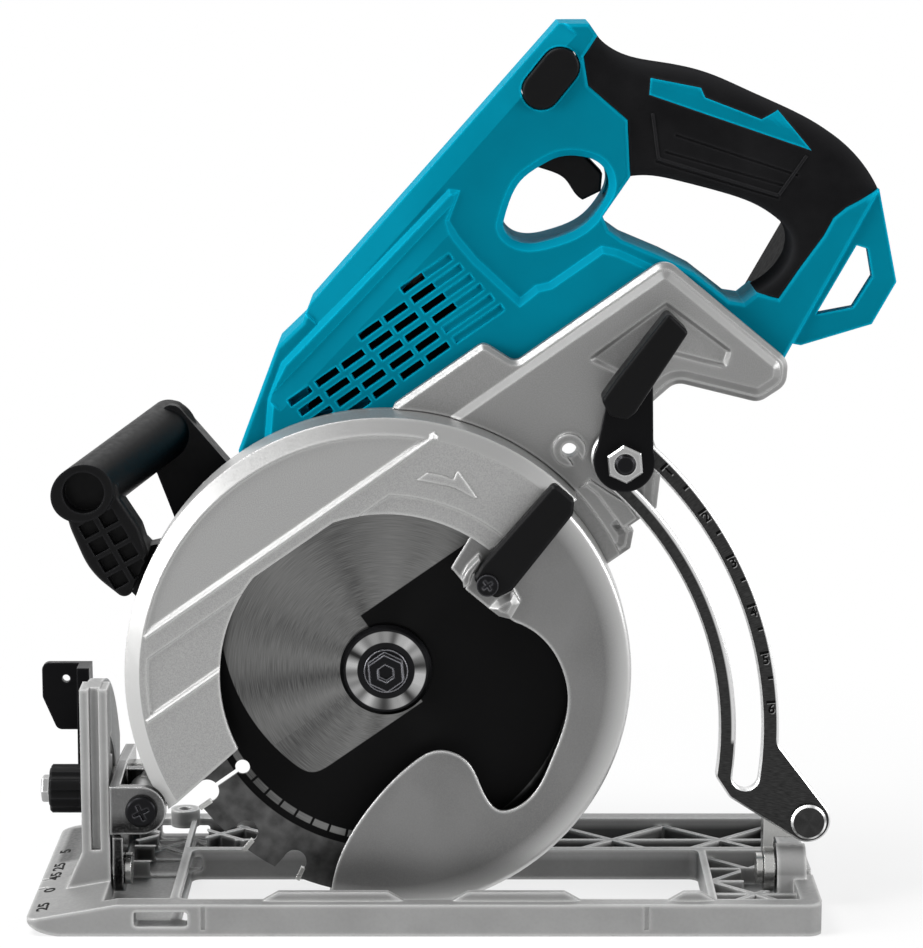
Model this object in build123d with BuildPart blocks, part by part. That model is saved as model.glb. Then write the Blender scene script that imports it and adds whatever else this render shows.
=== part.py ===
from build123d import *
from math import atan, cos, degrees, pi, radians, sin, sqrt
import os

os.makedirs("parts", exist_ok=True)

# Driving dimensions in millimetres and degrees.
# X runs to the rear, Y runs away from the blade side, Z runs up from the sole.
SPINDLE_Z = 95.9
HEAD_TILT = 35.0
BLADE_R = 92.5
TEETH = 24
GUARD_R = 95.3
CASE_R = 101.0
CASE_Y = -16.0
HOUSING_Y = 9.0
BACK_Y = 13.0
SPLIT_Y = 36.0
BATTERY_MIDDLES = (62.0, 135.0)

BASE_FRONT = -138.0
BASE_REAR = 168.0
BASE_NEAR = -41.0
BASE_FAR = 88.0
BASE_RIM = 12.5
SOLE = 3.0
SLOT_FRONT = -79.5
SLOT_REAR = 125.0
SLOT_NEAR = -33.0
SLOT_FAR = 34.0

BEVEL = (3.0, 14.0)
BEVEL_BOLT_R = 50.0
BEVEL_BOLT_AT = 31.7
PIVOT = (-95.2, 42.2)
HINGE = (165.6, 35.1)
LOCK_R = 231.8
LOCK_AT = 36.12
GUIDE_MID = (0.7, 71.0)
GUIDE_R = 141.15
GUIDE_IN = 129.5
GUIDE_OUT = 152.9
GUIDE_SLOT = 10.2
GUIDE_TOP = 50.2

MODULE = 0.9
PINION_TEETH = 12
GEAR_TEETH = 50
PRESSURE = radians(25)
BACKLASH = 0.3
MOTOR_AT = 67.5


def polar(r, a, mid=(0.0, 0.0)):
    """Point at radius r and angle a in degrees about mid."""
    return (mid[0] + r * cos(radians(a)), mid[1] + r * sin(radians(a)))


def head_at(y):
    """Plane of the raised head: x runs back along the head, y up, normal to the blade side."""
    lean = radians(HEAD_TILT)
    return Plane(origin=(0, y, SPINDLE_Z), x_dir=(cos(lean), 0, sin(lean)), z_dir=(0, -1, 0))


def side_at(y):
    """Side plane of the whole saw: x is X, y is Z, normal to the blade side."""
    return Plane(origin=(0, y, 0), x_dir=(1, 0, 0), z_dir=(0, -1, 0))


def cross_at(x):
    """Plane across the saw: x is Y, y is Z, normal to the rear."""
    return Plane(origin=(x, 0, 0), x_dir=(0, 1, 0), z_dir=(1, 0, 0))


def to_head(point):
    """Turn a side view point into head coordinates."""
    lean = radians(HEAD_TILT)
    dx = point[0]
    dz = point[1] - SPINDLE_Z
    return (dx * cos(lean) + dz * sin(lean), dz * cos(lean) - dx * sin(lean))


PIVOT_H = to_head(PIVOT)
LOCK = to_head(polar(LOCK_R, LOCK_AT, PIVOT))
CENTRES = MODULE * (PINION_TEETH + GEAR_TEETH) / 2
MOTOR = polar(CENTRES, MOTOR_AT)
BEVEL_BOLT = polar(BEVEL_BOLT_R, BEVEL_BOLT_AT, BEVEL)
COVER_SCREWS = [polar(38.5, a, MOTOR) for a in (MOTOR_AT, 145, -10)]
GUARD_SCREWS = [polar(98.9, a) for a in (25, 100, 142, 165)]
GRIP_SCREWS = ((-46, 84), (-58, 68))
LEVER_SCREW = (54.1, 8.7)
SLEEVE_PIN = (138, 36.5)
LOCK_OFF = (183, 150.4)
STOP_KNOB = (9, 45)
CLIP = (107.5, 29.5)
BEVEL_ARC = CenterArc(BEVEL, BEVEL_BOLT_R, 29, 58.5)
GUIDE_ARC = CenterArc(GUIDE_MID, GUIDE_R, -7.4, GUIDE_TOP + 7.4)

# Base plate: a cast tray with a rim, a blade opening, truss ribs and two uprights
with BuildPart() as base_plate:
    with BuildSketch():
        with Locations(((BASE_FRONT + BASE_REAR) / 2, (BASE_NEAR + BASE_FAR) / 2)):
            RectangleRounded(BASE_REAR - BASE_FRONT, BASE_FAR - BASE_NEAR, 6)
    extrude(amount=BASE_RIM)
    # trays leave the sole sheet as their floor
    with BuildSketch(Plane.XY.offset(BASE_RIM)):
        with Locations((47, 59)):
            Rectangle(222, 42)
        with Locations((144, 0)):
            Rectangle(32, 66)
        with Locations((-95.75, 24)):
            Rectangle(25.5, 112)
        with Locations((-70.5, 59)):
            Rectangle(21, 42)
    extrude(amount=SOLE - BASE_RIM, mode=Mode.SUBTRACT)
    # truss ribs in the trays
    with BuildSketch(Plane.XY.offset(SOLE - 1)):
        with Locations((47, 59)):
            with GridLocations(44.4, 1, 5, 1):
                Rectangle(60, 2.4, rotation=43.5)
                Rectangle(60, 2.4, rotation=-43.5)
            Rectangle(222, 2.4)
        with Locations((144, -16.5), (144, 17.5)):
            Rectangle(46, 2.4, rotation=46)
            Rectangle(46, 2.4, rotation=-46)
            Rectangle(34, 2.4)
        with Locations((144, 0.5)):
            Rectangle(32, 2.4)
        with Locations((-93.5, 68), (-70.5, 68)):
            Rectangle(30, 2.4, rotation=44)
            Rectangle(30, 2.4, rotation=-44)
        with Locations((-93.5, 50), (-93.5, 28)):
            Rectangle(22, 2.4)
    extrude(amount=7.5)
    # room for the foot of the rear bracket
    with BuildSketch(Plane.XY.offset(BASE_RIM)):
        with Locations((147.25, 3)):
            Rectangle(12.5, 30)
    extrude(amount=SOLE - BASE_RIM, mode=Mode.SUBTRACT)
    with BuildSketch():
        with Locations(((SLOT_FRONT + SLOT_REAR) / 2, (SLOT_NEAR + SLOT_FAR) / 2)):
            RectangleRounded(SLOT_REAR - SLOT_FRONT, SLOT_FAR - SLOT_NEAR, 4)
    extrude(amount=BASE_RIM, mode=Mode.SUBTRACT)
    # nose: the top slopes down and the sole curls up
    with BuildSketch(side_at(BASE_FAR)):
        with BuildLine():
            Polyline((-100, 13), (-140, 5.8), (-140, 13), (-100, 13))
        make_face()
        with BuildLine():
            ThreePointArc((-120, 0), (-132, 1.5), (-139, 5.2))
            Polyline((-139, 5.2), (-142, 5.2), (-142, -1), (-120, -1), (-120, 0))
        make_face()
    extrude(amount=BASE_FAR - BASE_NEAR, mode=Mode.SUBTRACT)
    # sight notches for a square and a tilted cut
    with BuildSketch(Plane.XY):
        with Locations((BASE_FRONT, 0), (BASE_FRONT, 12)):
            Rectangle(8, 2.2)
    extrude(amount=BASE_RIM, mode=Mode.SUBTRACT)
    # lips along the inner edge of the near rail
    with BuildSketch(side_at(SLOT_NEAR)):
        for start, end in ((-48, 8), (25, 76), (108, 128)):
            with BuildLine():
                Polyline((start, 12), (start + 7, 16), (end - 7, 16), (end, 12), (start, 12))
            make_face()
    extrude(amount=3)
    # bevel quadrant at the front with its arc slot and grooved near edge
    with BuildSketch(cross_at(-117.5)):
        with BuildLine():
            ThreePointArc((-6, 88.5), polar(75, 62, BEVEL), polar(75, 30, BEVEL))
            Polyline(polar(75, 30, BEVEL), (60, 8), (-6, 8), (-6, 88.5))
        make_face()
    extrude(amount=6)
    with BuildSketch(cross_at(-119.5)):
        with BuildLine():
            Polyline((-6, 6), (-6, 88.5), (7, 88.8), (9, 30), (16, 6), (-6, 6))
        make_face()
    extrude(amount=11)
    with BuildSketch(cross_at(-122)):
        SlotArc(BEVEL_ARC, 8.8)
    extrude(amount=15, mode=Mode.SUBTRACT)
    with BuildSketch(side_at(-3)):
        with Locations((-114, 52)):
            SlotOverall(62, 3.6, rotation=90)
        with Locations((-114, 104)):
            Rectangle(3.6, 60)
    extrude(amount=4, mode=Mode.SUBTRACT)
    with BuildSketch(side_at(12)):
        with BuildLine():
            Polyline((-128, 4), (-119, 24), (-109, 24), (-109, 4), (-128, 4))
        make_face()
    extrude(amount=18)
    # rear upright
    with BuildSketch(cross_at(153.5)):
        with Locations(BEVEL):
            Circle(9.8)
        with BuildLine():
            Polyline((-10, 2), (-6.8, 14), (12.8, 14), (16, 2), (-10, 2))
        make_face()
    extrude(amount=11.5)
    # seats of the pivot pins and of the stop knob stud
    with BuildSketch(cross_at(-130)):
        with Locations(BEVEL):
            Circle(4)
        with Locations(STOP_KNOB):
            Circle(4)
    extrude(amount=25, mode=Mode.SUBTRACT)
    with BuildSketch(cross_at(150)):
        with Locations(BEVEL):
            Circle(4)
    extrude(amount=20, mode=Mode.SUBTRACT)
    # rip fence slot right across the base
    with BuildSketch(side_at(BASE_FAR + 1)):
        with Locations((-86, 6.7)):
            RectangleRounded(20.6, 5.8, 1.2)
    extrude(amount=BASE_FAR - BASE_NEAR + 2, mode=Mode.SUBTRACT)
    # sight marks on the near rail
    with BuildSketch(side_at(BASE_NEAR + 0.6)):
        with Locations((-69.7, 7), (100.4, 7)):
            Rectangle(1.6, 9)
    extrude(amount=2, mode=Mode.SUBTRACT)
    # threaded boss for the clamp of the rip fence
    with BuildSketch(Plane.XY.offset(9.6)):
        with Locations((-86, 81)):
            Circle(6)
            Circle(2.6, mode=Mode.SUBTRACT)
    extrude(amount=7)
base_plate.part.label = "base_plate"
export_step(base_plate.part, "parts/base_plate.step")

# Pivot pins of the bevel axis, one in each upright
with BuildPart() as bevel_pivot_pins:
    with BuildSketch(cross_at(-119.5)):
        with Locations(BEVEL):
            Circle(4)
    extrude(amount=16.3)
    with BuildSketch(cross_at(-103.2)):
        with Locations(BEVEL):
            Circle(6.2)
    extrude(amount=2.4)
    with BuildSketch(cross_at(148.2)):
        with Locations(BEVEL):
            Circle(4)
    extrude(amount=16.8)
    with BuildSketch(cross_at(145.8)):
        with Locations(BEVEL):
            Circle(6.2)
    extrude(amount=2.4)
bevel_pivot_pins.part.label = "bevel_pivot_pins"
export_step(bevel_pivot_pins.part, "parts/bevel_pivot_pins.step")

# Stud and cap nut that carry the bevel stop knob
with BuildPart() as stop_knob_stud:
    with BuildSketch(cross_at(-136.5)):
        with Locations(STOP_KNOB):
            Circle(3)
    extrude(amount=17)
    with BuildSketch(cross_at(-119.5)):
        with Locations(STOP_KNOB):
            Circle(4)
    extrude(amount=11)
    with BuildSketch(cross_at(-136.6)):
        with Locations(STOP_KNOB):
            RegularPolygon(5.6, 6)
    extrude(amount=3.2)
    fillet(stop_knob_stud.edges().group_by(Axis.X)[0], 1.2)
stop_knob_stud.part.label = "stop_knob_stud"
export_step(stop_knob_stud.part, "parts/stop_knob_stud.step")

# Knob that sets the bevel stop
with BuildPart() as bevel_stop_knob:
    with BuildSketch(cross_at(-133)):
        with Locations(STOP_KNOB):
            Circle(9.6)
            with PolarLocations(11.2, 8):
                Circle(2.6, mode=Mode.SUBTRACT)
            Circle(3.06, mode=Mode.SUBTRACT)
    extrude(amount=12.6)
    chamfer(bevel_stop_knob.edges().group_by(Axis.X)[0].filter_by(GeomType.CIRCLE), 0.8)
bevel_stop_knob.part.label = "bevel_stop_knob"
export_step(bevel_stop_knob.part, "parts/bevel_stop_knob.step")

# Front bracket: bent steel sheet between the bevel axis and the depth pivot
with BuildPart() as front_bracket:
    with BuildSketch(cross_at(-107.5)):
        with BuildLine():
            Polyline(
                (-14, 32.7), (-14, 51.7), (18, 54), (52, 52), (57, 40), (50, 28), (18, 28),
                (12, 14), (-6, 14), (-6, 29), (-14, 32.7),
            )
        make_face()
        with Locations(BEVEL):
            Circle(9)
            Circle(4.06, mode=Mode.SUBTRACT)
        with Locations(BEVEL_BOLT):
            Circle(4, mode=Mode.SUBTRACT)
    extrude(amount=4)
    for face in (-10, 18):
        with BuildSketch(side_at(face)):
            with Locations((-101.35, PIVOT[1])):
                Rectangle(12.3, 19)
            with Locations(PIVOT):
                Circle(9.5)
                Circle(4, mode=Mode.SUBTRACT)
        extrude(amount=4)
front_bracket.part.label = "front_bracket"
export_step(front_bracket.part, "parts/front_bracket.step")

# Bolt of the depth pivot with a cross recess in its head
with BuildPart() as depth_pivot_bolt:
    with BuildSketch(side_at(22)):
        with Locations(PIVOT):
            Circle(4)
    extrude(amount=36)
    with BuildSketch(side_at(-14)):
        with Locations(PIVOT):
            Circle(6.2)
    extrude(amount=3.2)
    fillet(depth_pivot_bolt.edges().group_by(Axis.Y)[0], 1.6)
    with BuildSketch(side_at(-15.2)):
        with Locations(PIVOT):
            Rectangle(6.4, 1.3, rotation=25)
            Rectangle(6.4, 1.3, rotation=115)
    extrude(amount=4, mode=Mode.SUBTRACT)
    with BuildSketch(side_at(22.5)):
        with Locations(PIVOT):
            RegularPolygon(7, 6)
    extrude(amount=4.5)
depth_pivot_bolt.part.label = "depth_pivot_bolt"
export_step(depth_pivot_bolt.part, "parts/depth_pivot_bolt.step")

# Bolt that locks the bevel, carried by the front bracket through the quadrant slot
with BuildPart() as bevel_lock_bolt:
    with BuildSketch(cross_at(-127)):
        with Locations(BEVEL_BOLT):
            Circle(4)
    extrude(amount=23.5)
    with BuildSketch(cross_at(-103.5)):
        with Locations(BEVEL_BOLT):
            RegularPolygon(7, 6)
    extrude(amount=4)
bevel_lock_bolt.part.label = "bevel_lock_bolt"
export_step(bevel_lock_bolt.part, "parts/bevel_lock_bolt.step")

# Lever on the bevel lock bolt: a hub, an arm and a flag for the thumb
with BuildPart() as bevel_lever:
    with BuildSketch(cross_at(-125.5)):
        with Locations(BEVEL_BOLT):
            Circle(8)
        with BuildLine():
            Polyline((37, 42), (39, 86.6), (52, 86.6), (54, 42), (37, 42))
        make_face()
        with Locations(BEVEL_BOLT):
            Circle(4.06, mode=Mode.SUBTRACT)
    extrude(amount=5)
    with BuildSketch(side_at(52)) as flag:
        with BuildLine():
            Polyline(
                (-121, 86.6), (-140.7, 86.6), (-140.7, 72.4), (-134.9, 58.8), (-121, 58.8), (-121, 86.6),
            )
        make_face()
        fillet(flag.vertices().filter_by_position(Axis.X, -142, -130), 3)
        with Locations((-131, 80)):
            Circle(1.6, mode=Mode.SUBTRACT)
    extrude(amount=3)
bevel_lever.part.label = "bevel_lever"
export_step(bevel_lever.part, "parts/bevel_lever.step")

# Rear bracket: bent steel between the rear bevel pin and the guide hinge
with BuildPart() as rear_bracket:
    with BuildSketch(cross_at(148.5)):
        with Locations(BEVEL):
            Circle(9)
        with BuildLine():
            Polyline((1.8, 14), (1.8, 43.1), (13, 43.1), (12, 14), (1.8, 14))
        make_face()
        with Locations(BEVEL):
            Circle(4.06, mode=Mode.SUBTRACT)
    extrude(amount=4)
    with BuildSketch(side_at(5.8)):
        with Locations((157, HINGE[1])):
            Rectangle(17, 16)
        with Locations(HINGE):
            Circle(8)
            Circle(5, mode=Mode.SUBTRACT)
    extrude(amount=4)
rear_bracket.part.label = "rear_bracket"
export_step(rear_bracket.part, "parts/rear_bracket.step")

# Headed pin on which the depth guide swings
with BuildPart() as depth_guide_pin:
    with BuildSketch(side_at(5.8)):
        with Locations(HINGE):
            Circle(5)
    extrude(amount=9.1)
    with BuildSketch(side_at(-3.3)):
        with Locations(HINGE):
            Circle(7)
    extrude(amount=2.6)
    chamfer(depth_guide_pin.edges().group_by(Axis.Y)[0], 1)
depth_guide_pin.part.label = "depth_guide_pin"
export_step(depth_guide_pin.part, "parts/depth_guide_pin.step")

# Depth guide: slotted steel arc that hangs on the hinge pin
with BuildPart() as depth_guide:
    with BuildSketch(side_at(1.5)) as guide_face:
        with BuildLine():
            CenterArc(GUIDE_MID, GUIDE_IN, -8, GUIDE_TOP + 8)
            ThreePointArc(
                polar(GUIDE_IN, GUIDE_TOP, GUIDE_MID),
                polar(GUIDE_R, GUIDE_TOP + 4.75, GUIDE_MID),
                polar(GUIDE_OUT, GUIDE_TOP, GUIDE_MID),
            )
            CenterArc(GUIDE_MID, GUIDE_OUT, -2, GUIDE_TOP + 2)
            Line(polar(GUIDE_OUT, -2, GUIDE_MID), polar(8.8, 36, HINGE))
            ThreePointArc(polar(8.8, 36, HINGE), polar(8.8, -45, HINGE), polar(8.8, -130, HINGE))
            Polyline(polar(8.8, -130, HINGE), (134.5, 44.5), polar(GUIDE_IN, -8, GUIDE_MID))
        make_face()
        fillet(guide_face.vertices().filter_by_position(Axis.Y, 20, 80), 3)
        SlotArc(GUIDE_ARC, GUIDE_SLOT, mode=Mode.SUBTRACT)
        with Locations(HINGE):
            Circle(5.06, mode=Mode.SUBTRACT)
    extrude(amount=4.5)
    chamfer(depth_guide.faces().sort_by(Axis.Y)[0].edges(), 0.7)
depth_guide.part.label = "depth_guide"
export_step(depth_guide.part, "parts/depth_guide.step")

# Gear housing: one casting behind the blade that carries the spindle, the depth pivot and the handle
HOUSING_FOOT = (
    (180, 69), (196.6, 9), (190.5, 1.5), (178, 1.8), (156, 27), (143.8, 25.6), (137.5, 18), (133.5, 3.5),
    (122, -9.6), (109.5, -9.6), (109.5, -12), (104.5, -17), (60, -17), (60, -4), (40, 40),
)
with BuildSketch() as housing_side:
    with BuildLine():
        Polyline((40, 69), (62, 82.4), (104, 82.4), (109.5, 69), *HOUSING_FOOT, (40, 69))
    make_face()
    fillet(housing_side.vertices().filter_by_position(Axis.X, 100, 112).sort_by(Axis.Y)[-2:], 4)
    fillet(housing_side.vertices().filter_by_position(Axis.X, 150, 200), 7)
with BuildSketch() as housing_pad:
    with BuildLine():
        Polyline((40, 69), *HOUSING_FOOT, (40, 69))
    make_face()
    fillet(housing_pad.vertices().filter_by_position(Axis.X, 150, 200), 7)
with BuildPart() as gear_housing:
    # bevelled ear, and over it the raised main pad with a broad slope and a recess
    with BuildSketch(head_at(HOUSING_Y)):
        add(housing_side.sketch)
    extrude(amount=2, taper=45)
    with BuildSketch(head_at(HOUSING_Y)):
        add(housing_pad.sketch)
    extrude(amount=4, taper=55)
    with BuildSketch(head_at(HOUSING_Y)):
        Circle(CASE_R + 0.3)
    extrude(amount=5, mode=Mode.SUBTRACT)
    with BuildSketch(head_at(HOUSING_Y - 4)) as recess:
        with BuildLine():
            Polyline((133, 54.5), (171, 55.5), (181, 25.5), (175, 20.5), (161, 37), (140, 42), (133, 54.5))
        make_face()
        fillet(recess.vertices(), 1.5)
    extrude(amount=-2, taper=40, mode=Mode.SUBTRACT)
    # plate behind the blade
    with BuildSketch(head_at(BACK_Y)):
        Circle(CASE_R)
        with Locations((0, -92)):
            Rectangle(240, 204, mode=Mode.SUBTRACT)
        Circle(30)
        with BuildLine():
            Polyline((-90, 24), (-107, 18), (-114, 9), (-109, 3), (-98, 5), (-60, 10), (-60, 24), (-90, 24))
        make_face()
        with BuildLine():
            Polyline((94, -17), (20, -24), (20, 10), (100, 10), (94, -17))
        make_face()
        add(housing_side.sketch)
    extrude(amount=BACK_Y - HOUSING_Y)
    # spindle boss on which the lower guard turns
    with BuildSketch(head_at(HOUSING_Y)):
        Circle(19)
    extrude(amount=4.5)
    # gear case
    with BuildSketch(head_at(30)):
        Circle(28)
        with Locations(MOTOR):
            Circle(36)
        with Locations(*COVER_SCREWS):
            Circle(4.5)
    extrude(amount=17)
    with BuildSketch(head_at(30)):
        Circle(25.2)
        with Locations(MOTOR):
            Circle(9)
    extrude(amount=16.5, mode=Mode.SUBTRACT)
    with BuildSketch(head_at(13.5)):
        Circle(14)
    extrude(amount=8.5, mode=Mode.SUBTRACT)
    with BuildSketch(head_at(6)):
        Circle(7)
    extrude(amount=3, mode=Mode.SUBTRACT)
    # depth pivot boss
    with BuildSketch(head_at(13.5)):
        with Locations(PIVOT_H):
            Circle(7.6)
    extrude(amount=23)
    with BuildSketch(head_at(15)):
        with Locations(PIVOT_H):
            Circle(4.06)
    extrude(amount=26, mode=Mode.SUBTRACT)
    # depth lock boss and clip lug
    with BuildSketch(head_at(HOUSING_Y)):
        with Locations(LOCK):
            Circle(10.5)
    extrude(amount=7.2)
    with BuildSketch(head_at(HOUSING_Y)):
        with Locations(CLIP):
            Circle(6.4)
            Rectangle(4.4, 8, align=(Align.CENTER, Align.MAX), mode=Mode.SUBTRACT)
    extrude(amount=7)
    with BuildSketch(head_at(BACK_Y)):
        with Locations(CLIP):
            Circle(3)
        with Locations(LOCK):
            Circle(4)
    extrude(amount=12, mode=Mode.SUBTRACT)
    # screw holes
    with BuildSketch(head_at(30)):
        with Locations(*COVER_SCREWS):
            Circle(2)
    extrude(amount=10, mode=Mode.SUBTRACT)
    with BuildSketch(head_at(BACK_Y)):
        with Locations(*GUARD_SCREWS):
            Circle(1.2)
        with Locations(*GRIP_SCREWS):
            Circle(2)
    extrude(amount=BACK_Y - HOUSING_Y, mode=Mode.SUBTRACT)
    # stepped pad of the chip chute
    with BuildSketch(head_at(HOUSING_Y - 2)):
        with BuildLine():
            Polyline(
                (102, 15), (105, 14), (106.5, 9), (107, -8), (114, -8), (114, -1), (110.5, 7), (107.5, 15),
                (102, 15),
            )
        make_face()
    extrude(amount=3.2)
gear_housing.part.label = "gear_housing"
export_step(gear_housing.part, "parts/gear_housing.step")

# Upper guard: turned half shell with a window, ridges and sunk panels
with BuildPart() as upper_guard:
    with BuildSketch(Plane(origin=(0, 0, SPINDLE_Z), x_dir=(1, 0, 0), z_dir=(0, 0, 1))):
        with BuildLine():
            Polyline(
                (96.8, HOUSING_Y), (CASE_R, HOUSING_Y), (CASE_R, -12.5), (95, CASE_Y), (20, CASE_Y),
                (20, CASE_Y + 2.4), (94, CASE_Y + 2.4), (96.8, -11.5), (96.8, HOUSING_Y),
            )
        make_face()
    revolve(axis=Axis((0, 0, SPINDLE_Z), (0, 1, 0)))
    # sunk panels of the face
    with BuildSketch(head_at(CASE_Y)):
        Circle(94.3)
        with Locations((0, -34.5)):
            Rectangle(220, 203, mode=Mode.SUBTRACT)
    extrude(amount=-1, mode=Mode.SUBTRACT)
    with BuildSketch(head_at(CASE_Y)):
        Circle(71.5)
        with Locations((0, 107.5)):
            Rectangle(220, 100, mode=Mode.SUBTRACT)
        with Locations((-85, 0)):
            Rectangle(220, 220, mode=Mode.SUBTRACT)
    extrude(amount=-0.8, mode=Mode.SUBTRACT)
    with BuildSketch(head_at(CASE_Y)):
        Circle(92)
        with Locations((0, -80.2)):
            Rectangle(220, 240, mode=Mode.SUBTRACT)
        with Locations((0, 108.5)):
            Rectangle(220, 100, mode=Mode.SUBTRACT)
        with Locations((88, 50)):
            Rectangle(220, 100, mode=Mode.SUBTRACT)
    extrude(amount=-0.8, mode=Mode.SUBTRACT)
    # ridges
    with BuildSketch(head_at(CASE_Y + 1)):
        with Locations((1.5, 66)):
            Rectangle(139, 4)
        with Locations((-68, 38.5)):
            Rectangle(38, 4)
    extrude(amount=1.6, taper=48)
    # window and the two ends
    with BuildSketch(head_at(CASE_Y + 4)):
        Circle(64)
        with Locations((0, 111.2)):
            Rectangle(200, 100, mode=Mode.SUBTRACT)
    extrude(amount=6, mode=Mode.SUBTRACT)
    with BuildSketch(head_at(HOUSING_Y + 1)):
        with BuildLine():
            Polyline(
                (-115, 3.2), (-63, 9.5), (0, 9.5), (61, 18), (115, 13), (115, -115), (-115, -115),
                (-115, 3.2),
            )
        make_face()
        with Locations(PIVOT_H):
            Circle(10.4)
    extrude(amount=28, mode=Mode.SUBTRACT)
    with BuildSketch(head_at(HOUSING_Y)):
        with Locations(*GUARD_SCREWS):
            Circle(1.2)
    extrude(amount=8, mode=Mode.SUBTRACT)
upper_guard.part.label = "upper_guard"
export_step(upper_guard.part, "parts/upper_guard.step")

# Lower guard: rim with a cut-out near web and a far web that turns on the spindle boss
with BuildPart() as lower_guard:
    with BuildSketch(head_at(7)):
        Circle(GUARD_R)
        Circle(GUARD_R - 1.4, mode=Mode.SUBTRACT)
    extrude(amount=18)
    with BuildSketch(head_at(7)):
        Circle(GUARD_R)
        Circle(62, mode=Mode.SUBTRACT)
        Circle(27)
        with PolarLocations(45, 2, start_angle=-95, angular_range=100, endpoint=True):
            Rectangle(40, 22)
    extrude(amount=1.5)
    with BuildSketch(head_at(8.6)):
        Circle(23)
    extrude(amount=2.5)
    with BuildSketch(head_at(10)):
        with BuildLine():
            Polyline(
                (0, 0), polar(200, 25), polar(200, 75), polar(200, 130), polar(200, 180), polar(200, 221),
                (0, 0),
            )
        make_face()
        Circle(27, mode=Mode.SUBTRACT)
    extrude(amount=24, mode=Mode.SUBTRACT)
    with BuildSketch(head_at(10)):
        Circle(19.06)
    extrude(amount=6, mode=Mode.SUBTRACT)
    with BuildSketch(head_at(-9.6)):
        with BuildLine():
            ThreePointArc(polar(GUARD_R, 221), polar(GUARD_R, -57), polar(GUARD_R, 24))
            Polyline(polar(GUARD_R, 24), (45, 20), (46, 6), (52.9, -11.6))
            Spline(
                (52.9, -11.6), (58.4, -30), (52, -49), (33, -65), (13, -73), (5, -70), (3.8, -62),
                (5.8, -46), (-1.2, -36.4), (-12, -35), (-35.6, -39.8), (-56.9, -49.6), polar(89, 221),
            )
            Line(polar(89, 221), polar(GUARD_R, 221))
        make_face()
    extrude(amount=1.4)
    # rounded outer rim
    with BuildSketch(Plane(origin=(0, 0, SPINDLE_Z), x_dir=(1, 0, 0), z_dir=(0, 0, 1))):
        with BuildLine():
            ThreePointArc((GUARD_R - 2.2, -11), (GUARD_R - 0.644, -10.356), (GUARD_R, -8.8))
            Polyline(
                (GUARD_R, -8.8), (GUARD_R + 1, -8.8), (GUARD_R + 1, -12), (GUARD_R - 2.2, -12),
                (GUARD_R - 2.2, -11),
            )
        make_face()
    revolve(axis=Axis((0, 0, SPINDLE_Z), (0, 1, 0)), mode=Mode.SUBTRACT)
    # seat and bumper of the guard lever
    with BuildSketch(head_at(-10.5)) as bumper:
        with BuildLine():
            Polyline(
                (45.5, 11), (48.5, 0), (50, -5), (53, -8.4), (59.4, -5.4), (60, -0.4), (57, 3), (58, 12),
                (50, 15), (45.5, 11),
            )
        make_face()
        fillet(bumper.vertices(), 0.8)
    extrude(amount=7.1)
    with BuildSketch(head_at(-17.6)):
        Polygon(
            (48.6, -0.2), (53, 0.8), (59.4, 0.2), (60, -1.5), (59, -5.2), (53, -8.2), (50, -5), align=None
        )
    extrude(amount=3, taper=38)
    with BuildSketch(head_at(-10.5)):
        Polygon(
            (45.6, 12.4), (47, 15.3), (51, 17.2), (57, 18.4), (57, 17), (51, 14.7), (47.8, 12), align=None
        )
    extrude(amount=9.5)
    with BuildSketch(head_at(-18)):
        with Locations(LEVER_SCREW):
            Circle(2.5)
    extrude(amount=-6, mode=Mode.SUBTRACT)
lower_guard.part.label = "lower_guard"
export_step(lower_guard.part, "parts/lower_guard.step")

# Lever that lifts the lower guard by hand
with BuildPart() as guard_lever:
    with BuildSketch(head_at(-17.6)) as paddle:
        with BuildLine():
            Polyline(
                (97.3, 26.4), (99.8, 16.5), (96.4, 12.4), (60.4, 1.4), (53.6, 2.4), (50.7, 13.5),
                (56.8, 16.3), (97.3, 26.4),
            )
        make_face()
        fillet(paddle.vertices(), 2)
        with Locations(LEVER_SCREW):
            Circle(2.5, mode=Mode.SUBTRACT)
    extrude(amount=6.4)
    chamfer(guard_lever.faces().sort_by(Axis.Y)[0].outer_wire().edges(), 1)
guard_lever.part.label = "guard_lever"
export_step(guard_lever.part, "parts/guard_lever.step")

# Screw of the guard lever
with BuildPart() as guard_lever_screw:
    with BuildSketch(head_at(-13)):
        with Locations(LEVER_SCREW):
            Circle(2.5)
    extrude(amount=11)
    with BuildSketch(head_at(-24)):
        with Locations(LEVER_SCREW):
            Circle(4.2)
    extrude(amount=1.6)
    with BuildSketch(head_at(-24.6)):
        with Locations(LEVER_SCREW):
            Rectangle(4.4, 1)
            Rectangle(1, 4.4)
    extrude(amount=2, mode=Mode.SUBTRACT)
guard_lever_screw.part.label = "guard_lever_screw"
export_step(guard_lever_screw.part, "parts/guard_lever_screw.step")

# Saw blade with gullets and four expansion slots
with BuildPart() as saw_blade:
    with BuildSketch(head_at(0.75)):
        Circle(BLADE_R - 1)
        with PolarLocations(0, TEETH):
            with Locations((86, 0)):
                Circle(4.6, mode=Mode.SUBTRACT)
            Polygon(
                (86, -4.6), (94, -7), (94, 5), (87, 5), (87, 4.5), (86, 4.6),
                align=None, mode=Mode.SUBTRACT,
            )
        with PolarLocations(0, 4):
            with Locations((69, 0)):
                Circle(2.9, mode=Mode.SUBTRACT)
            with Locations((78, 0)):
                Rectangle(18, 1.6, mode=Mode.SUBTRACT)
        Circle(15, mode=Mode.SUBTRACT)
    extrude(amount=1.5)
saw_blade.part.label = "saw_blade"
export_step(saw_blade.part, "parts/saw_blade.step")

# Brazed cutting tips
with BuildPart() as carbide_tips:
    with BuildSketch(head_at(1)):
        with PolarLocations(0, TEETH):
            with Locations((89.75, 4.1)):
                Rectangle(5.5, 1.8)
    extrude(amount=2)
carbide_tips.part.label = "carbide_tips"
export_step(carbide_tips.part, "parts/carbide_tips.step")

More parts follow.
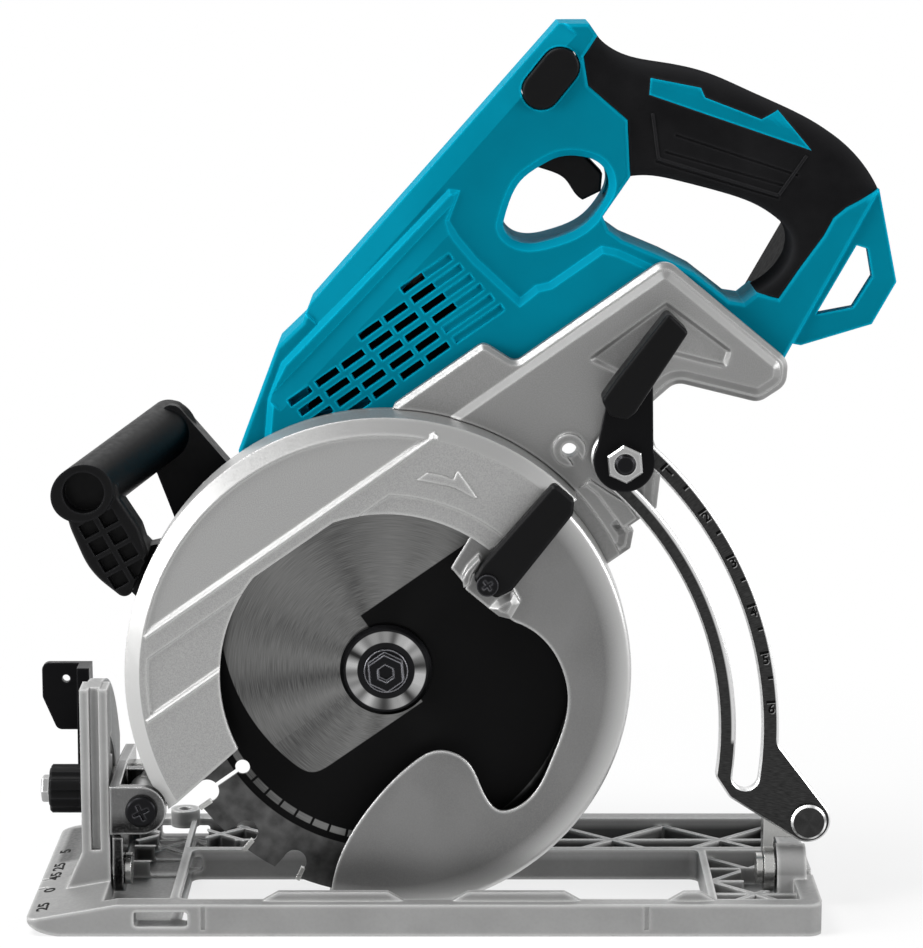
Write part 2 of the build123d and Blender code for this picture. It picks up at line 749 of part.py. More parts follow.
# Inner flange that centres the blade
with BuildPart() as inner_flange:
    with BuildSketch(head_at(4.2)):
        Circle(18)
    extrude(amount=3.45)
    with BuildSketch(head_at(0.75)):
        Circle(14.95)
    extrude(amount=1.4)
    with BuildSketch(head_at(5)):
        Circle(6)
    extrude(amount=8, mode=Mode.SUBTRACT)
inner_flange.part.label = "inner_flange"
export_step(inner_flange.part, "parts/inner_flange.step")

# Outer flange that clamps the blade
with BuildPart() as outer_flange:
    with BuildSketch(head_at(-0.75)):
        Circle(18)
        Circle(4.2, mode=Mode.SUBTRACT)
    extrude(amount=3.6)
    chamfer(outer_flange.faces().sort_by(Axis.Y)[0].outer_wire().edges(), 1.6)
outer_flange.part.label = "outer_flange"
export_step(outer_flange.part, "parts/outer_flange.step")

# Bolt that holds the blade
with BuildPart() as blade_bolt:
    with BuildSketch(head_at(14)):
        Circle(4)
    extrude(amount=18.35)
    with BuildSketch(head_at(-4.35)):
        Circle(8.6)
    extrude(amount=1)
    with BuildSketch(head_at(-5.35)):
        RegularPolygon(7.5, 6)
    extrude(amount=4.4)
    with BuildSketch(head_at(-7)):
        RegularPolygon(3.4, 6)
    extrude(amount=4, mode=Mode.SUBTRACT)
blade_bolt.part.label = "blade_bolt"
export_step(blade_bolt.part, "parts/blade_bolt.step")

# Spindle
with BuildPart() as spindle:
    with BuildSketch(head_at(24)):
        Circle(6)
    extrude(amount=24.4)
    with BuildSketch(head_at(37)):
        Circle(4)
    extrude(amount=13)
    with BuildSketch(head_at(14.5)):
        Circle(4)
    extrude(amount=16, mode=Mode.SUBTRACT)
spindle.part.label = "spindle"
export_step(spindle.part, "parts/spindle.step")


def swell(base, r):
    """Angle in radians that an involute from the base circle has gained at radius r."""
    roll = sqrt(max((r / base) ** 2 - 1, 0))
    return roll - atan(roll)


def gear_outline(teeth, first, mid):
    """Corner points of a spur gear about mid, with one involute tooth centred on the angle first."""
    pitch = MODULE * teeth / 2
    base = pitch * cos(PRESSURE)
    root = pitch - 1.2 * MODULE
    tip = pitch + 0.8 * MODULE
    start = max(base, root)
    half = pi / (2 * teeth) - BACKLASH / (4 * pitch) + swell(base, pitch)
    flank = [start + (tip - start) * step / 4 for step in range(5)]
    points = []
    for tooth in range(teeth):
        middle = first + 360 * tooth / teeth
        wide = degrees(half - swell(base, start))
        points.append(polar(root - 0.05, middle - wide, mid))
        points += [polar(r, middle - degrees(half - swell(base, r)), mid) for r in flank]
        points += [polar(r, middle + degrees(half - swell(base, r)), mid) for r in reversed(flank)]
        points.append(polar(root - 0.05, middle + wide, mid))
    return points + points[:1]


# Large gear on the spindle
with BuildPart() as drive_gear:
    with BuildSketch(head_at(24)):
        with BuildLine():
            Polyline(*gear_outline(GEAR_TEETH, MOTOR_AT, (0, 0)))
        make_face()
        with PolarLocations(14, 6):
            Circle(3.4, mode=Mode.SUBTRACT)
        Circle(6, mode=Mode.SUBTRACT)
    extrude(amount=8)
drive_gear.part.label = "drive_gear"
export_step(drive_gear.part, "parts/drive_gear.step")

# Bearings of the spindle
with BuildPart() as spindle_bearings:
    with BuildSketch(head_at(13)):
        Circle(14)
        Circle(6.05, mode=Mode.SUBTRACT)
    extrude(amount=8)
    with BuildSketch(head_at(37.3)):
        Circle(11)
        Circle(4.05, mode=Mode.SUBTRACT)
    extrude(amount=7)
spindle_bearings.part.label = "spindle_bearings"
export_step(spindle_bearings.part, "parts/spindle_bearings.step")

# Bearing plate that closes the gear case
with BuildPart() as bearing_plate:
    with BuildSketch(head_at(33)):
        Circle(28)
        with Locations(MOTOR):
            Circle(36)
        with Locations(*COVER_SCREWS):
            Circle(4.5)
    extrude(amount=3)
    with BuildSketch(head_at(39)):
        Circle(14)
        with Locations(MOTOR):
            Circle(36)
        with Locations(*COVER_SCREWS):
            Circle(4.5)
    extrude(amount=6)
    with BuildSketch(head_at(37.5)):
        Circle(11)
    extrude(amount=8, mode=Mode.SUBTRACT)
    with BuildSketch(head_at(39)):
        with Locations(MOTOR):
            Circle(11)
    extrude(amount=7, mode=Mode.SUBTRACT)
    with BuildSketch(head_at(33)):
        with Locations(MOTOR):
            Circle(5)
    extrude(amount=4, mode=Mode.SUBTRACT)
    with BuildSketch(head_at(40)):
        with Locations(*COVER_SCREWS):
            Circle(2)
    extrude(amount=11, mode=Mode.SUBTRACT)
bearing_plate.part.label = "bearing_plate"
export_step(bearing_plate.part, "parts/bearing_plate.step")

# Motor housing with ribs that hold the stator
with BuildPart() as motor_housing:
    with BuildSketch(head_at(104)):
        with Locations(MOTOR):
            Circle(36)
        with Locations(*COVER_SCREWS):
            Circle(4.5)
        with Locations(MOTOR):
            Circle(33, mode=Mode.SUBTRACT)
    extrude(amount=65)
    with BuildSketch(head_at(92)):
        with Locations(MOTOR):
            with PolarLocations(31.7, 8):
                Rectangle(3.4, 5)
            Circle(30, mode=Mode.SUBTRACT)
    extrude(amount=34)
    with BuildSketch(head_at(98)):
        with Locations(MOTOR):
            with PolarLocations(36, 28):
                Rectangle(1.6, 2.2)
    extrude(amount=50)
    with BuildSketch(head_at(104)):
        with Locations(*COVER_SCREWS):
            Circle(2)
    extrude(amount=65, mode=Mode.SUBTRACT)
motor_housing.part.label = "motor_housing"
export_step(motor_housing.part, "parts/motor_housing.step")

# Vented end cover of the motor
with BuildPart() as motor_end_cover:
    with BuildSketch(head_at(120)):
        with Locations(MOTOR):
            Circle(36)
        with Locations(*COVER_SCREWS):
            Circle(4.5)
    extrude(amount=16)
    fillet(motor_end_cover.edges().group_by(Axis.Y)[-1], 2)
    with BuildSketch(head_at(117)):
        with Locations(MOTOR):
            Circle(33)
            Circle(14, mode=Mode.SUBTRACT)
    extrude(amount=13, mode=Mode.SUBTRACT)
    with BuildSketch(head_at(107)):
        with Locations(MOTOR):
            Circle(20)
    extrude(amount=3, mode=Mode.SUBTRACT)
    with BuildSketch(head_at(115)):
        with Locations(MOTOR):
            Circle(11)
    extrude(amount=8, mode=Mode.SUBTRACT)
    with BuildSketch(head_at(117)):
        with Locations(MOTOR):
            Circle(6)
    extrude(amount=2, mode=Mode.SUBTRACT)
    with BuildSketch(head_at(121)):
        with Locations(MOTOR):
            with PolarLocations(23, 12):
                SlotOverall(12, 3.6)
    extrude(amount=5, mode=Mode.SUBTRACT)
    with BuildSketch(head_at(121)):
        with Locations(*COVER_SCREWS):
            Circle(2)
    extrude(amount=18, mode=Mode.SUBTRACT)
    with BuildSketch(head_at(121)):
        with Locations(*COVER_SCREWS):
            Circle(3.6)
    extrude(amount=4, mode=Mode.SUBTRACT)
motor_end_cover.part.label = "motor_end_cover"
export_step(motor_end_cover.part, "parts/motor_end_cover.step")

# Long screws of the motor
with BuildPart() as cover_screws:
    with BuildSketch(head_at(117)):
        with Locations(*COVER_SCREWS):
            Circle(2)
    extrude(amount=97)
    with BuildSketch(head_at(119.4)):
        with Locations(*COVER_SCREWS):
            Circle(3.4)
    extrude(amount=2.4)
cover_screws.part.label = "cover_screws"
export_step(cover_screws.part, "parts/cover_screws.step")

# Stator and its windings
with BuildPart() as stator:
    with BuildSketch(head_at(90)):
        with Locations(MOTOR):
            Circle(30)
            Circle(15.2, mode=Mode.SUBTRACT)
            with PolarLocations(21.5, 6):
                Rectangle(9, 8, mode=Mode.SUBTRACT)
    extrude(amount=30)
stator.part.label = "stator"
export_step(stator.part, "parts/stator.step")

with BuildPart() as stator_windings:
    with BuildSketch(head_at(96)):
        with Locations(MOTOR):
            Circle(26)
            Circle(17, mode=Mode.SUBTRACT)
    extrude(amount=6)
    with BuildSketch(head_at(60)):
        with Locations(MOTOR):
            Circle(26)
            Circle(17, mode=Mode.SUBTRACT)
    extrude(amount=6)
    with BuildSketch(head_at(91)):
        with Locations(MOTOR):
            with PolarLocations(21.5, 6):
                Rectangle(8.4, 7.4)
    extrude(amount=32)
stator_windings.part.label = "stator_windings"
export_step(stator_windings.part, "parts/stator_windings.step")

# Rotor: shaft, core, fan and pinion
with BuildPart() as rotor_shaft:
    with BuildSketch(head_at(116)):
        with Locations(MOTOR):
            Circle(4)
    extrude(amount=101.5)
rotor_shaft.part.label = "rotor_shaft"
export_step(rotor_shaft.part, "parts/rotor_shaft.step")

with BuildPart() as rotor_core:
    with BuildSketch(head_at(90)):
        with Locations(MOTOR):
            Circle(14.6)
            Circle(4, mode=Mode.SUBTRACT)
    extrude(amount=30)
rotor_core.part.label = "rotor_core"
export_step(rotor_core.part, "parts/rotor_core.step")

with BuildPart() as cooling_fan:
    with BuildSketch(head_at(43.5)):
        with Locations(MOTOR):
            Circle(29)
            Circle(4, mode=Mode.SUBTRACT)
    extrude(amount=1.5)
    with BuildSketch(head_at(51)):
        with Locations(MOTOR):
            Circle(8)
            Circle(4, mode=Mode.SUBTRACT)
            with PolarLocations(19, 11):
                Rectangle(18, 1.5, rotation=24)
    extrude(amount=7.5)
cooling_fan.part.label = "cooling_fan"
export_step(cooling_fan.part, "parts/cooling_fan.step")

with BuildPart() as pinion:
    with BuildSketch(head_at(25)):
        with BuildLine():
            Polyline(*gear_outline(PINION_TEETH, MOTOR_AT + 180 + 180 / PINION_TEETH, MOTOR))
        make_face()
        with Locations(MOTOR):
            Circle(4, mode=Mode.SUBTRACT)
    extrude(amount=10)
pinion.part.label = "pinion"
export_step(pinion.part, "parts/pinion.step")

# Bearings of the rotor
with BuildPart() as rotor_bearings:
    with BuildSketch(head_at(39)):
        with Locations(MOTOR):
            Circle(11)
            Circle(4.05, mode=Mode.SUBTRACT)
    extrude(amount=7)
    with BuildSketch(head_at(115)):
        with Locations(MOTOR):
            Circle(11)
            Circle(4.05, mode=Mode.SUBTRACT)
    extrude(amount=7)
rotor_bearings.part.label = "rotor_bearings"
export_step(rotor_bearings.part, "parts/rotor_bearings.step")

# Bolt that runs in the depth guide
with BuildPart() as depth_lock_bolt:
    with BuildSketch(head_at(BACK_Y)):
        with Locations(LOCK):
            Circle(4)
    extrude(amount=BACK_Y + 15)
    chamfer(depth_lock_bolt.edges().group_by(Axis.Y)[0], 0.8)
    with BuildSketch(head_at(BACK_Y + 3.5)):
        with Locations(LOCK):
            Circle(7.5)
    extrude(amount=3.5)
depth_lock_bolt.part.label = "depth_lock_bolt"
export_step(depth_lock_bolt.part, "parts/depth_lock_bolt.step")

# Depth lever: pressed steel arm, nut and sleeve
with BuildPart() as depth_lever:
    with BuildSketch(head_at(-3.6)):
        with Locations(LOCK):
            Circle(11.8)
        with BuildLine():
            Polyline(
                (112.6, 21), (130, 37.5), (133, 40), (145, 41), (148.5, 33), (132.6, 9.5), (118, 10),
                (112.6, 21),
            )
        make_face()
        with Locations(LOCK):
            Circle(4.06, mode=Mode.SUBTRACT)
    extrude(amount=3.6)
    with BuildSketch(head_at(-7.2)):
        with Locations(SLEEVE_PIN):
            Circle(3)
    extrude(amount=10)
depth_lever.part.label = "depth_lever"
export_step(depth_lever.part, "parts/depth_lever.step")

with BuildPart() as depth_lock_nut:
    with BuildSketch(head_at(-7.2)):
        with Locations(LOCK):
            RegularPolygon(7.5, 6)
            Circle(4.06, mode=Mode.SUBTRACT)
    extrude(amount=6.4)
    chamfer(depth_lock_nut.faces().sort_by(Axis.Y)[0].outer_wire().edges(), 0.6)
depth_lock_nut.part.label = "depth_lock_nut"
export_step(depth_lock_nut.part, "parts/depth_lock_nut.step")

with BuildPart() as depth_lever_grip:
    with BuildSketch(head_at(-7.2)) as sleeve:
        with BuildLine():
            Polyline(
                (169.7, 55.1), (171.8, 44.5), (137.9, 30.6), (133.6, 30.3), (129.3, 34.9),
                (130.1, 42.1), (139.4, 45.5), (169.7, 55.1),
            )
        make_face()
        fillet(sleeve.vertices().filter_by_position(Axis.X, 125, 138), 2.4)
        fillet(sleeve.vertices().filter_by_position(Axis.X, 165, 175), 1.6)
    extrude(amount=14.8)
    fillet(depth_lever_grip.faces().sort_by(Axis.Y)[0].edges(), 1.5)
    with BuildSketch(head_at(-7.2)):
        with Locations(SLEEVE_PIN):
            Circle(3)
    extrude(amount=10, mode=Mode.SUBTRACT)
depth_lever_grip.part.label = "depth_lever_grip"
export_step(depth_lever_grip.part, "parts/depth_lever_grip.step")


def rear(s, m):
    """Head point that lies s along the sloping rear edge of the handle and m inside it."""
    return (195.6 + 0.903 * s - 0.430 * m, 8.9 + 0.430 * s + 0.903 * m)


def front(s, m):
    """Head point that lies s along the long front edge of the handle and m inside it."""
    return (55.9 + 0.9725 * s + 0.2323 * m, 132.1 + 0.2323 * s - 0.9725 * m)


def from_head(point, y):
    """Turn a head point and a Y into a point of the saw."""
    lean = radians(HEAD_TILT)
    return (
        point[0] * cos(lean) - point[1] * sin(lean),
        y,
        SPINDLE_Z + point[0] * sin(lean) + point[1] * cos(lean),
    )


def along(start, end):
    """Plane across the line between two head points: x is Y, y points out to the front."""
    first = Vector(*from_head(start, 0))
    return Plane(origin=first, x_dir=(0, 1, 0), z_dir=Vector(*from_head(end, 0)) - first)


# Side shapes of the handle: hard shell, hollow, trigger hole and soft grip
NEAR_Y = 16.0
FAR_Y = 59.0
SHELL_WALL = 4.5
with BuildSketch() as trigger_hole:
    with BuildLine():
        Spline(
            (136.2, 115.1), (141.8, 119.7), (151.2, 124.6), (160, 125), (168, 123.8), (175.5, 119),
            (180, 112), (178, 103.5), (171, 98.8), (160.8, 96.4), (147.5, 99.1), (139, 103.3),
            (134.8, 110.3), periodic=True,
        )
    make_face()
with BuildSketch() as trigger_rim:
    with BuildLine():
        Spline(
            (133.8, 116.9), (140.2, 122.2), (150.4, 127.5), (160.1, 128), (169.1, 126.6), (177.6, 121.1),
            (183, 112.5), (180.5, 101.8), (172.1, 96), (160.8, 93.4), (146.6, 96.2), (137, 101),
            (131.9, 109.6), periodic=True,
        )
    make_face()
with BuildSketch() as shell_side:
    with BuildLine():
        Polyline(
            (-4, 93), (0.4, 101.5), (36.3, 126.1), (50.3, 128.3), (55.9, 132.1), (197.4, 165.9),
            (207, 159.2), (207, 153.5), (198.2, 149.9), (193.3, 139.8), (198.3, 120.3), (186.6, 101.6),
            (169.2, 95.1), (168, 89.5), (170.2, 83.3), (179.3, 68.8), (185.6, 57.1), (190.9, 39.9),
            (195, 36), (201.4, 36.4), (207, 30), (220.9, 35.3), (235, 40.2), (242.1, 43.8),
            (248.2, 44.3), (262.8, 42.5), rear(0, 0), (180, 20), (150, 36), (110, 46), (62, 60), (22, 80),
            (-4, 93),
        )
    make_face()
    fillet(shell_side.vertices().filter_by_position(Axis.X, -6, 60), 2)
    add(trigger_hole.sketch, mode=Mode.SUBTRACT)
with BuildSketch() as hollow_side:
    with BuildLine():
        Polyline(
            (8, 98), (37, 121), (52, 124), (57, 128), (195, 161), (203, 156), (194, 151.5), (189.6, 140),
            (194.6, 120.8), (184.5, 105), (183.5, 113), (178, 121.5), (168, 127.5), (152, 128.2),
            (140, 122.5), (133, 116), (131.2, 109), (136.5, 100.5), (147, 95.5), (160, 93), (166, 86),
            (176, 66), (184, 44), (150, 41), (110, 51), (64, 65), (25, 85), (8, 98),
        )
    make_face()
with BuildSketch() as grip_side:
    with BuildLine():
        Spline(
            (207, 153.5), (208, 147), (212, 139.3), (221.3, 129.5), (233.5, 116.3), (243.7, 100.1),
            (252.5, 85.4), (261.1, 66.6), (263.4, 53), (262.8, 42.5),
        )
        Polyline(
            (262.8, 42.5), (248.2, 44.3), (242.1, 43.8), (235, 40.2), (220.9, 35.3), (207, 30),
            (201.4, 36.4),
        )
        Spline(
            (201.4, 36.4), (212, 36.6), (220.4, 40.5), (224.7, 46.9), (224.1, 55.2), (220, 65.2),
            (212.5, 75.8), (201.5, 88.8), (193.6, 97), (186.6, 101.6),
        )
        Polyline((186.6, 101.6), (198.3, 120.3), (193.3, 139.8), (198.2, 149.9), (207, 153.5))
    make_face()

with BuildSketch() as grip_room:
    with BuildLine():
        Polyline(
            (209, 136), (220, 123), (231, 108), (244, 86), (254, 62), (250, 54), (232, 56), (226, 69),
            (209, 91), (200, 102), (207, 112), (209, 136),
        )
    make_face()

# Outer form of the soft grip, and the hard inlay that shows through it on the blade side
with BuildPart() as grip_form:
    with BuildSketch(head_at(55)):
        add(grip_side.sketch)
    extrude(amount=38)
    fillet(grip_form.edges().filter_by(GeomType.BSPLINE).sort_by(SortBy.LENGTH)[:2], 4)
    fillet(grip_form.edges().filter_by(GeomType.BSPLINE).sort_by(SortBy.LENGTH)[-2:], 9)
with BuildPart() as grip_inlay:
    with BuildSketch(head_at(21)):
        with BuildLine():
            Polyline(
                (210.5, 123.5), (214.5, 128.5), (228.2, 114.3), (227.5, 110.3), (240.5, 91), (247.8, 90),
                (249.6, 70), (210.5, 123.5),
            )
        make_face()
    extrude(amount=6)
    add(grip_form.part, mode=Mode.INTERSECT)

# Hard core of the grip with two blocks that join it to the shell, shared by both halves
with BuildPart() as grip_core:
    with BuildSketch(head_at(52)):
        with BuildLine():
            Spline(
                (200, 146), (208, 138), (219, 126.5), (231, 113), (241, 97.5), (249.5, 83), (257.5, 66),
                (259.5, 54), (257, 47),
            )
            Polyline((257, 47), (246, 48), (236, 44.5), (229, 43.5))
            Spline(
                (229, 43.5), (228.4, 50), (226.6, 57), (222.6, 67), (215, 78), (204, 91), (196, 99.5),
                (191, 102.5),
            )
            Polyline((191, 102.5), (202, 120), (197, 140), (200, 146))
        make_face()
        with BuildLine():
            Polyline((189, 110), (206, 110), (206, 140), (189, 140), (189, 110))
        make_face()
        with BuildLine():
            Polyline(rear(40, 9), rear(60, 9), rear(60, 18), rear(46, 20), rear(40, 9))
        make_face()
    extrude(amount=32)
    with BuildSketch(head_at(49)):
        add(grip_room.sketch)
    extrude(amount=26, mode=Mode.SUBTRACT)

TRIGGER_ROOM = ((152, 129), (178, 126.5), (184.5, 116), (184, 104), (174, 99.5), (160, 112), (152, 129))
HANDLE_SCREWS = ((32, 105), (122, 131), (158, 144), (150, 70), (180, 52))

# Vents in slanting columns: each row lists the first and the last column that it opens
VENT_COLUMNS = (25.8, 38.8, 51, 64.1, 76.3, 89.3)
VENT_ROWS = ((5, 6), (3, 6), (0, 6), (0, 6), (0, 5), (1, 5))
VENT_TOP = 116.5
VENT_PITCH = 5.5
VENT_LEAN = 1.1


def vents(first_column):
    """Sketch of the vents that lie in first_column or behind it."""
    with BuildSketch() as made:
        for row, (first, last) in enumerate(VENT_ROWS):
            for column in VENT_COLUMNS[max(first, first_column):last]:
                with Locations((column + VENT_LEAN * row, VENT_TOP - VENT_PITCH * row)):
                    Rectangle(10.2, 2.9, align=(Align.MIN, Align.CENTER))
    return made.sketch


near_vents = vents(0)
far_vents = vents(3)

# Blade side half of the handle with the raised body, the vents and the hanging loop
BODY_Y = 13.0
with BuildPart() as handle_left:
    with BuildSketch(head_at(SPLIT_Y)):
        add(shell_side.sketch)
    extrude(amount=SPLIT_Y - NEAR_Y)
    fillet(handle_left.faces().sort_by(Axis.Y)[0].outer_wire().edges(), 2)
    # sloping rim of the trigger hole
    with BuildSketch(head_at(NEAR_Y - 0.5)):
        add(trigger_rim.sketch)
    with BuildSketch(head_at(NEAR_Y + 3.5)):
        add(trigger_hole.sketch)
    loft(mode=Mode.SUBTRACT)
    # slope along the front edge
    with BuildSketch(along(front(-3, 0), front(150, 0))):
        with BuildLine():
            Polyline((NEAR_Y - 1, -10.7), (NEAR_Y + 3.4, 1.1), (NEAR_Y - 1, 1.1), (NEAR_Y - 1, -10.7))
        make_face()
    extrude(amount=150, mode=Mode.SUBTRACT)
    # body that stands out around the vents and under the gear housing
    with BuildSketch(head_at(NEAR_Y + 1.5)):
        with BuildLine():
            Polyline(
                (8, 97), (21, 112.5), (34, 121.5), (127, 139.5), (132, 135), (121, 127.5), (120.5, 121),
                (121.5, 110), (126, 89), (133, 89.5), (138, 87.5), (163, 87.5), (168, 82), (177, 67),
                (183.5, 55.5), (188.5, 39), (192, 30), (193, 16), (180, 23), (150, 39), (110, 49), (62, 63),
                (22, 83), (8, 97),
            )
        make_face()
    extrude(amount=NEAR_Y + 1.5 - BODY_Y, taper=40)
    # groove with a steep and a gentle side behind the front crest
    with BuildSketch(along((22, 111.7), (132, 134.2))):
        with BuildLine():
            Polyline((BODY_Y - 1, 6.5), (BODY_Y + 2, 0), (BODY_Y - 1, -10.5), (BODY_Y - 1, 6.5))
        make_face()
    extrude(amount=112, mode=Mode.SUBTRACT)
    with BuildSketch(head_at(SPLIT_Y)):
        add(hollow_side.sketch)
    extrude(amount=SPLIT_Y - NEAR_Y - SHELL_WALL, mode=Mode.SUBTRACT)
    with BuildSketch(head_at(NEAR_Y + SHELL_WALL)):
        with BuildLine():
            Polyline((32, 97), (34, 105), (108, 120), (114, 88), (64, 85), (32, 97))
        make_face()
    extrude(amount=3.6, mode=Mode.SUBTRACT)
    with BuildSketch(head_at(SPLIT_Y)):
        with Locations(*HANDLE_SCREWS):
            Circle(4.5)
    extrude(amount=SPLIT_Y - NEAR_Y - 2)
    with BuildSketch(head_at(SPLIT_Y)):
        with Locations(*HANDLE_SCREWS):
            Circle(1.5)
    extrude(amount=17, mode=Mode.SUBTRACT)
    # air vents, and shallow blind ones behind them
    with BuildSketch(head_at(NEAR_Y + 2)):
        add(near_vents)
    extrude(amount=6, mode=Mode.SUBTRACT)
    with BuildSketch(head_at(BODY_Y)):
        for row, start in enumerate((99.5, 100.6, 101.7, 102.8, 93.7, 94.8)):
            with Locations((start, VENT_TOP - VENT_PITCH * row)):
                Rectangle(112.6 + row - start, 2.9, align=(Align.MIN, Align.CENTER))
    extrude(amount=-0.8, mode=Mode.SUBTRACT)
    # hanging loop
    with BuildSketch(head_at(26)):
        with BuildLine():
            Polyline(
                rear(75, 1.4), rear(47.4, -22.7), rear(28.5, -22.8), rear(7.7, -3), rear(6, 2), rear(72, 2),
                rear(75, 1.4),
            )
        make_face()
        with BuildLine():
            Polyline(
                rear(21, -2), rear(30.5, -13.2), rear(44.5, -13.6), rear(53, -6.5), rear(52, -2),
                rear(21, -2),
            )
        make_face(mode=Mode.SUBTRACT)
    extrude(amount=8)
    # room for the trigger, the lock-off button and the battery rails
    with BuildSketch(head_at(SPLIT_Y)):
        with BuildLine():
            Polyline(*TRIGGER_ROOM)
        make_face()
    extrude(amount=9.5, mode=Mode.SUBTRACT)
    with BuildSketch(head_at(SPLIT_Y)):
        with Locations(LOCK_OFF):
            SlotOverall(26.8, 15.2, rotation=16)
    extrude(amount=30, mode=Mode.SUBTRACT)
    with BuildSketch(head_at(SPLIT_Y)):
        with BuildLine():
            Polyline(rear(-6, -2), rear(63, -2), rear(63, 8.5), rear(-6, 8.5), rear(-6, -2))
        make_face()
    extrude(amount=9.5, mode=Mode.SUBTRACT)
    add(split(grip_core.part, bisect_by=Plane.XZ.offset(-SPLIT_Y), keep=Keep.TOP, mode=Mode.PRIVATE))
    add(grip_inlay.part)
handle_left.part.label = "handle_left"
export_step(handle_left.part, "parts/handle_left.step")

# Motor side half of the handle
with BuildPart() as handle_right:
    with BuildSketch(head_at(FAR_Y)):
        add(shell_side.sketch)
    extrude(amount=FAR_Y - SPLIT_Y)
    fillet(handle_right.faces().sort_by(Axis.Y)[-1].outer_wire().edges(), 2)
    with BuildSketch(along(front(-3, 0), front(150, 0))):
        with BuildLine():
            Polyline((FAR_Y + 1, -10.7), (FAR_Y - 3.4, 1.1), (FAR_Y + 1, 1.1), (FAR_Y + 1, -10.7))
        make_face()
    extrude(amount=150, mode=Mode.SUBTRACT)
    with BuildSketch(head_at(FAR_Y - SHELL_WALL)):
        add(hollow_side.sketch)
    extrude(amount=FAR_Y - SHELL_WALL - SPLIT_Y, mode=Mode.SUBTRACT)
    with BuildSketch(head_at(FAR_Y - 1)):
        with Locations(*HANDLE_SCREWS):
            Circle(4.5)
    extrude(amount=FAR_Y - 1 - SPLIT_Y)
    with BuildSketch(head_at(FAR_Y)):
        with Locations(*HANDLE_SCREWS):
            Circle(1.5)
    extrude(amount=FAR_Y - SPLIT_Y, mode=Mode.SUBTRACT)
    with BuildSketch(head_at(FAR_Y)):
        with Locations(*HANDLE_SCREWS):
            Circle(3.4)
    extrude(amount=3, mode=Mode.SUBTRACT)
    with BuildSketch(head_at(FAR_Y + 1)):
        add(far_vents)
    extrude(amount=6, mode=Mode.SUBTRACT)
    with BuildSketch(head_at(SPLIT_Y + 9.5)):
        with BuildLine():
            Polyline(*TRIGGER_ROOM)
        make_face()
    extrude(amount=9.5, mode=Mode.SUBTRACT)
    with BuildSketch(head_at(FAR_Y + 1)):
        with Locations(LOCK_OFF):
            SlotOverall(26.8, 15.2, rotation=16)
    extrude(amount=30, mode=Mode.SUBTRACT)
    with BuildSketch(head_at(FAR_Y + 1)):
        with BuildLine():
            Polyline(rear(-6, -2), rear(63, -2), rear(63, 8.5), rear(-6, 8.5), rear(-6, -2))
        make_face()
    extrude(amount=30, mode=Mode.SUBTRACT)
    add(split(grip_core.part, bisect_by=Plane.XZ.offset(-SPLIT_Y), keep=Keep.BOTTOM, mode=Mode.PRIVATE))
handle_right.part.label = "handle_right"
export_step(handle_right.part, "parts/handle_right.step")

# Screws of the handle
with BuildPart() as handle_screws:
    with BuildSketch(head_at(FAR_Y - 3)):
        with Locations(*HANDLE_SCREWS):
            Circle(1.5)
    extrude(amount=36)
    with BuildSketch(head_at(FAR_Y - 0.8)):
        with Locations(*HANDLE_SCREWS):
            Circle(3.2)
    extrude(amount=2.2)
handle_screws.part.label = "handle_screws"
export_step(handle_screws.part, "parts/handle_screws.step")

# Soft rubber cover of the grip
with BuildPart() as rubber_grip:
    add(grip_form.part)
    add(grip_core.part, mode=Mode.SUBTRACT)
    add(grip_inlay.part, mode=Mode.SUBTRACT)
    # grooved panel for the palm
    with BuildSketch(head_at(17.5)):
        with BuildLine():
            Line((198, 101), (229, 62))
            Line((203, 102), (234, 64))
            Line((210, 105), (240, 65))
        trace(line_width=0.9)
    extrude(amount=1, mode=Mode.SUBTRACT)
    with BuildSketch(head_at(49)):
        add(grip_room.sketch)
    extrude(amount=26, mode=Mode.SUBTRACT)
rubber_grip.part.label = "rubber_grip"
export_step(rubber_grip.part, "parts/rubber_grip.step")

